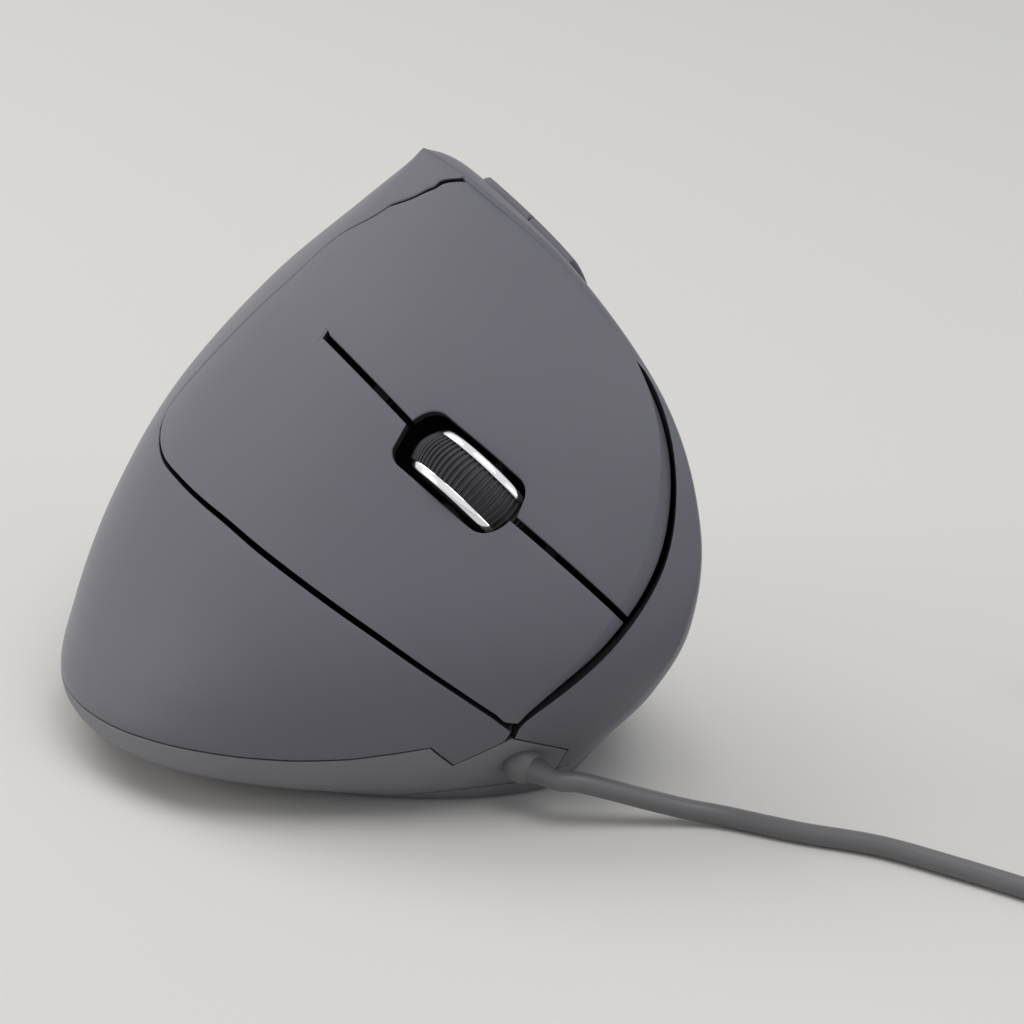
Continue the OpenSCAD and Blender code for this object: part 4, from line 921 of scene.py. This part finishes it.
# the cord: points repeated from the part's own route, in mm, then its coil, tail and plug
cordForm = {"diameter": 3.0, "loops": 12, "mid": 34, "gap": 0.6, "centre": (-66, 134), "startAngle": 17.5, "tie": 1.0,
            "tail": 30, "plugHeight": 4, "sides": 16, "reliefRadius": 2.1, "bossRadius": 2.9, "collarAt": 1.0,
            "collarNeck": 1.9, "reliefBack": 7, "reliefFront": 6.5, "leadIn": 8, "leadOut": 7,
            "tieWidth": 6, "tieCorner": 1.5,
            "floorRun": [[-2.8, 47.3, 7], [-6.6, 50.2, 5.6], [-10.6, 53.2, 4], [-14.8, 56.6, 2.5],
                         [-18.6, 60.8, 1.7], [-23.5, 70.8, 1.5], [-29.2, 81, 1.5], [-33, 93, 1.5],
                         [-36, 104, 1.5], [-39, 117, 1.9]]}


def coilPath(p):
    d, loops = p["diameter"], p["loops"]
    pitch, turns = d + p["gap"], loops / 4
    deep = (turns - 0.5) * pitch
    outer, inner = p["mid"] / 2 + deep / 2, p["mid"] / 2 - deep / 2
    ground, bump = d / 2 + p["tie"] + 0.4, 0.3 * pitch
    end = loops - 1 + (180 - p["startAngle"]) / 360
    points = []
    for q in np.append(np.arange(0, end, 1 / 36), end):
        k = min(3, int(q // turns))
        w, m = q - k * turns, turns - 0.5
        t, a = (w - m) / 0.5, math.radians(p["startAngle"] + 360 * q)
        if w <= m:
            r = outer - w / m * deep if k % 2 == 0 else inner + w / m * deep
        else:
            r = inner - bump * math.sin(math.pi * t) if k % 2 == 0 else outer + bump * math.sin(math.pi * t)
        z = k + (0 if w <= m else float(smoothStep(t)))
        points.append((p["centre"][0] + r * math.cos(a), p["centre"][1] + r * math.sin(a), ground + z * pitch))
    return np.array(points), outer, inner, ground, pitch, bump


coilPoints, coilOuter, coilInner, coilGround, coilPitch, coilBump = coilPath(cordForm)
coilEnd = coilPoints[-1]


def cordPath(p):
    a = math.radians(p["startAngle"])
    heading = np.array([-math.sin(a), math.cos(a), 0])
    start = coilPoints[0] - p["diameter"] * heading
    route = np.concatenate([[exitAt - p["leadIn"] * exitDir, exitAt, exitAt + p["leadOut"] * exitDir], p["floorRun"],
                            [start - 6 * heading, start]])
    run = curveAt(route, np.linspace(0, 1, 113))
    tailAt = np.linspace(1, p["tail"], 12)
    fall = smoothStep((tailAt - p["diameter"]) / (p["tail"] - 2 * p["diameter"]))
    tail = np.stack([np.full(12, coilEnd[0]), coilEnd[1] - tailAt, mixed(coilEnd[2], p["plugHeight"], fall)], -1)
    return np.concatenate([run, coilPoints, tail])


def tubePiece(name, path, radius, sides, material):
    t = unit(np.gradient(path, axis=0))
    a = unit(np.cross(t, np.array([0, 0, 1.0])))
    b = np.cross(a, t)
    angle = np.linspace(0, 2 * np.pi, sides, endpoint=False)
    ring = (a[:, None, :] * np.cos(angle)[None, :, None] + b[:, None, :] * np.sin(angle)[None, :, None]) * radius
    points = (path[:, None, :] + ring).reshape(-1, 3)
    return meshObject(name, points, tubeFaces(len(path), sides), material)


cordLine = cordPath(cordForm)
cordTube = tubePiece("cordTube", cordLine, cordForm["diameter"] / 2, cordForm["sides"], cordPvc)


def reliefPiece(p):
    bore, big, boss = p["diameter"] / 2 + 0.03, p["reliefRadius"], p["bossRadius"]
    slim = p["diameter"] / 2 + 0.08
    neck, back, front = p["collarNeck"], p["reliefBack"], p["reliefFront"]
    turn = np.linspace(math.pi - math.asin(big / boss), math.asin(neck / boss), 16)
    ball = [(boss * math.sin(a), p["collarAt"] + boss * math.cos(a)) for a in turn]
    taper = [(mixed(neck, slim, smoothStep(x)), mixed(ball[-1][1], front - 0.2, x)) for x in np.linspace(0.08, 1, 10)]
    profile = [(bore, -back), (big, -back)] + ball + taper + [(bore, front)]
    points, faces = ringPart(profile, 48)
    return meshObject("strainRelief", along(points, exitAt, exitDir), faces, cordPvc)


strainRelief = reliefPiece(cordForm)

plugForm = {"length": 24, "width": 13.6, "thick": 7.6, "collar": 5.5, "neck": 5, "corner": 1.2, "mouth": (12.1, 4, 4.6),
            "grips": 5, "gripFrom": 7, "gripPitch": 2, "gripWidth": 8, "gripLength": 0.9, "gripDepth": 0.35}


def plugBody(p):
    x, y1, z = coilEnd[0], coilEnd[1] - cordForm["tail"], cordForm["plugHeight"]
    y0 = y1 - p["length"]
    low, high = (x - p["width"] / 2, y0, z - p["thick"] / 2), (x + p["width"] / 2, y1 - p["neck"], z + p["thick"] / 2)
    body = meshObject("plugBody", *blockPart(low, high), plugPvc)
    wide, deep, tall = p["mouth"]
    mouth = blockPart((x - wide / 2, y0 - 1, z - tall / 2), (x + wide / 2, y0 + deep, z + tall / 2))
    grips, grip, cut = [], p["gripWidth"] / 2, p["gripDepth"]
    for k in range(p["grips"]):
        y = y0 + p["gripFrom"] + p["gripPitch"] * k
        for face in (z - p["thick"] / 2, z + p["thick"] / 2):
            grips.append(blockPart((x - grip, y, face - cut), (x + grip, y + p["gripLength"], face + cut)))
    soft = body.modifiers.new("round", "BEVEL")
    soft.width, soft.segments, soft.limit_method = p["corner"] * mm, 4, "ANGLE"
    settled(body)
    cutFrom(body, meshObject("mouth", *joined([mouth] + grips), plugPvc))
    neck = [(3.25, 0), (3.2, 0.6), (2.9, 2.2), (2.55, 4), (2.35, 5.2), (2.1, 5.5), (1.55, 5.5), (1.55, 0)]
    points, faces = ringPart(neck, 32)
    collar = meshObject("plugCollar", along(points, (x, y1 - p["collar"], z), (0, 1, 0)), faces, plugPvc)
    return body, collar


plugGrip, plugCollar = plugBody(plugForm)


def tieBand(p):
    # a strap round one side of the coil, a rounded loop seen from its end
    t, w, r = p["tie"], p["tieWidth"], p["tieCorner"]
    y0 = p["centre"][1] - coilOuter - coilBump - p["diameter"] / 2 - 0.6
    y1 = p["centre"][1] - coilInner + coilBump + p["diameter"] / 2 + 0.9
    z0, z1 = coilGround - p["diameter"] / 2 - 0.3, coilGround + 3 * coilPitch + p["diameter"] / 2 + 0.3
    loop = []
    for cy, cz, start in [(y1 - r, z1 - r, 0), (y0 + r, z1 - r, 90), (y0 + r, z0 + r, 180), (y1 - r, z0 + r, 270)]:
        for a in np.radians(np.linspace(start, start + 90, 9)):
            loop.append((cy, cz, math.cos(a), math.sin(a)))
    x = p["centre"][0]
    section = [(-w / 2, 0.1), (-w / 2 + 0.1, 0), (w / 2 - 0.1, 0), (w / 2, 0.1), (w / 2, t - 0.1), (w / 2 - 0.1, t),
               (-w / 2 + 0.1, t), (-w / 2, t - 0.1)]
    points = [(x + sx, cy + (r + st) * c, cz + (r + st) * s) for cy, cz, c, s in loop for sx, st in section]
    return meshObject("cordTie", points, tubeFaces(len(loop), len(section), closed=True), tieNylon)


cordTie = tieBand(cordForm)
print("relief, plug and tie made")

# pieces take their bodies and hide the nodes they replace
stands(palmShell, "chassis", "soft_touch", "palm_shell")
stands(thumbShell, "chassis", "soft_touch", "thumb_shell")
stands(rearSkin, "chassis", "soft_touch", "finger_panel")
stands(baseCover, "chassis", "base_plastic", "base_cover")
stands(glideFeet, "chassis", "foot_ptfe", "glide_feet")
stands(screws, "chassis", "screw_steel", "base_screws")
stands(strainRelief, "chassis", "cord_pvc", "strain_relief")
stands(backPad, "back_key", "thumb_key", "back_button")
stands(forwardPad, "forward_key", "thumb_key", "forward_button")
stands(wheelTyre, "wheel", "wheel_rubber", "wheel_tyre")
stands(wheelRings, "wheel", "ring_chrome", "wheel_rings")
stands(plugGrip, "chassis", "cord_pvc", "usb_plug_body")
stands(plugCollar, "chassis", "cord_pvc")
stands(cordTie, "chassis", "tie_fabric", "cord_tie")
stands(cordTube, "chassis", "cord_pvc", "cable", "cable_coil")
for skin, body, node in ((leftSkin, "left_key", "left_button"), (rightSkin, "right_key", "right_button")):
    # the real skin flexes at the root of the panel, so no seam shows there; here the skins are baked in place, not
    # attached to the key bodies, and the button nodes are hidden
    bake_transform(skin)
    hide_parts(node)

nodeFinish = {
    "wheel_hub": blackAbsSeamShade, "wheel_cradle": blackAbsSeamShade, "wheel_encoder": blackAbsSeamShade, "button_carrier": blackAbsSeamShade,
    "left_switch": chipEpoxy, "right_switch": chipEpoxy, "middle_switch": chipEpoxy, "side_switches": chipEpoxy,
    "button_pcb": boardMask, "side_pcb": boardMask, "main_pcb": boardMask, "sensor_chip": chipEpoxy,
    "controller_chip": chipEpoxy, "capacitor": chipEpoxy, "sensor_lens": lensPc, "sensor_led": ledEpoxy,
    "main_headers": nylonNatural, "cord_header": nylonNatural, "upper_ribbon": ribbonPvc, "side_ribbon": ribbonPvc,
    "inner_lead": plugPvc, "board_screws": screwSteel, "usb_plug_shell": plugNickel, "usb_plug_tongue": nylonNatural}
for name, material in nodeFinish.items():
    nodes[name].data.materials.clear()
    nodes[name].data.materials.append(material)
print("pieces ride their bodies")

# lamps by right, up and toward shares of the photo's view, with distance and size in metres and power in watts
studio = {"floor": "#e4e2de", "floorSize": 6.0, "world": "#eef0f3", "worldStrength": 0.35,
          "lamps": {"sideSoftbox": (-0.98, 0.2, 0.1, 1.0, 0.6, 2.2, "#fffdf8"),
                    "topSoftbox": (-0.5, 0.85, -0.1, 1.0, 0.7, 3.0, "#ffffff"),
                    "frontSoftbox": (0.2, 0.75, 0.6, 1.0, 0.7, 3.6, "#ffffff"),
                    "rightSoftbox": (0.76, 0.0, 0.65, 1.0, 0.5, 1.0, "#f8faff")}}


def areaLamp(name, at, target, size, power, color):
    data = bpy.data.lights.new(name, "AREA")
    data.shape, data.size, data.energy, data.color = "DISK", size, power, hexColor(color)[:3]
    lamp = bpy.data.objects.new(name, data)
    bpy.context.scene.collection.objects.link(lamp)
    lamp.location = at
    lamp.rotation_euler = (Vector(target) - Vector(at)).to_track_quat("-Z", "Y").to_euler()


def dressStage(p):
    half = p["floorSize"] / 2 / mm
    # matt painted board: pale, with the faintest mottling
    paint = finish("mattPaintedBoard", p["floor"], p["floor"], 0.8, 2.0, 0.01)
    floor = meshObject("floor", [(-half, -half, 0), (half, -half, 0), (half, half, 0), (-half, half, 0)],
                       [(0, 1, 2, 3)], paint)
    world = bpy.data.worlds.new("studioWorld")
    world.use_nodes = True
    tree = world.node_tree
    back = tree.nodes["Background"]
    back.inputs["Color"].default_value = hexColor(p["world"])
    path = addNode(tree, "ShaderNodeLightPath")
    seen = addNode(tree, "ShaderNodeMath", links={0: path.outputs["Is Camera Ray"], 1: path.outputs["Is Glossy Ray"]},
                   operation="MAXIMUM")
    level = addNode(tree, "ShaderNodeMapRange", {"To Min": p["worldStrength"], "To Max": 1.0},
                    {"Value": seen.outputs["Value"]})
    tree.links.new(level.outputs["Result"], back.inputs["Strength"])
    bpy.context.scene.world = world
    view = bpy.context.scene.camera.rotation_euler.to_matrix()
    centre = Vector(photoCamera["target"]) * mm
    for name, (right, up, toward, distance, size, power, color) in p["lamps"].items():
        areaLamp(name, centre + view @ Vector((right, up, toward)).normalized() * distance, centre, size, power, color)
    bpy.context.scene.view_settings.view_transform = "Standard"


dressStage(studio)
print("stage lit")
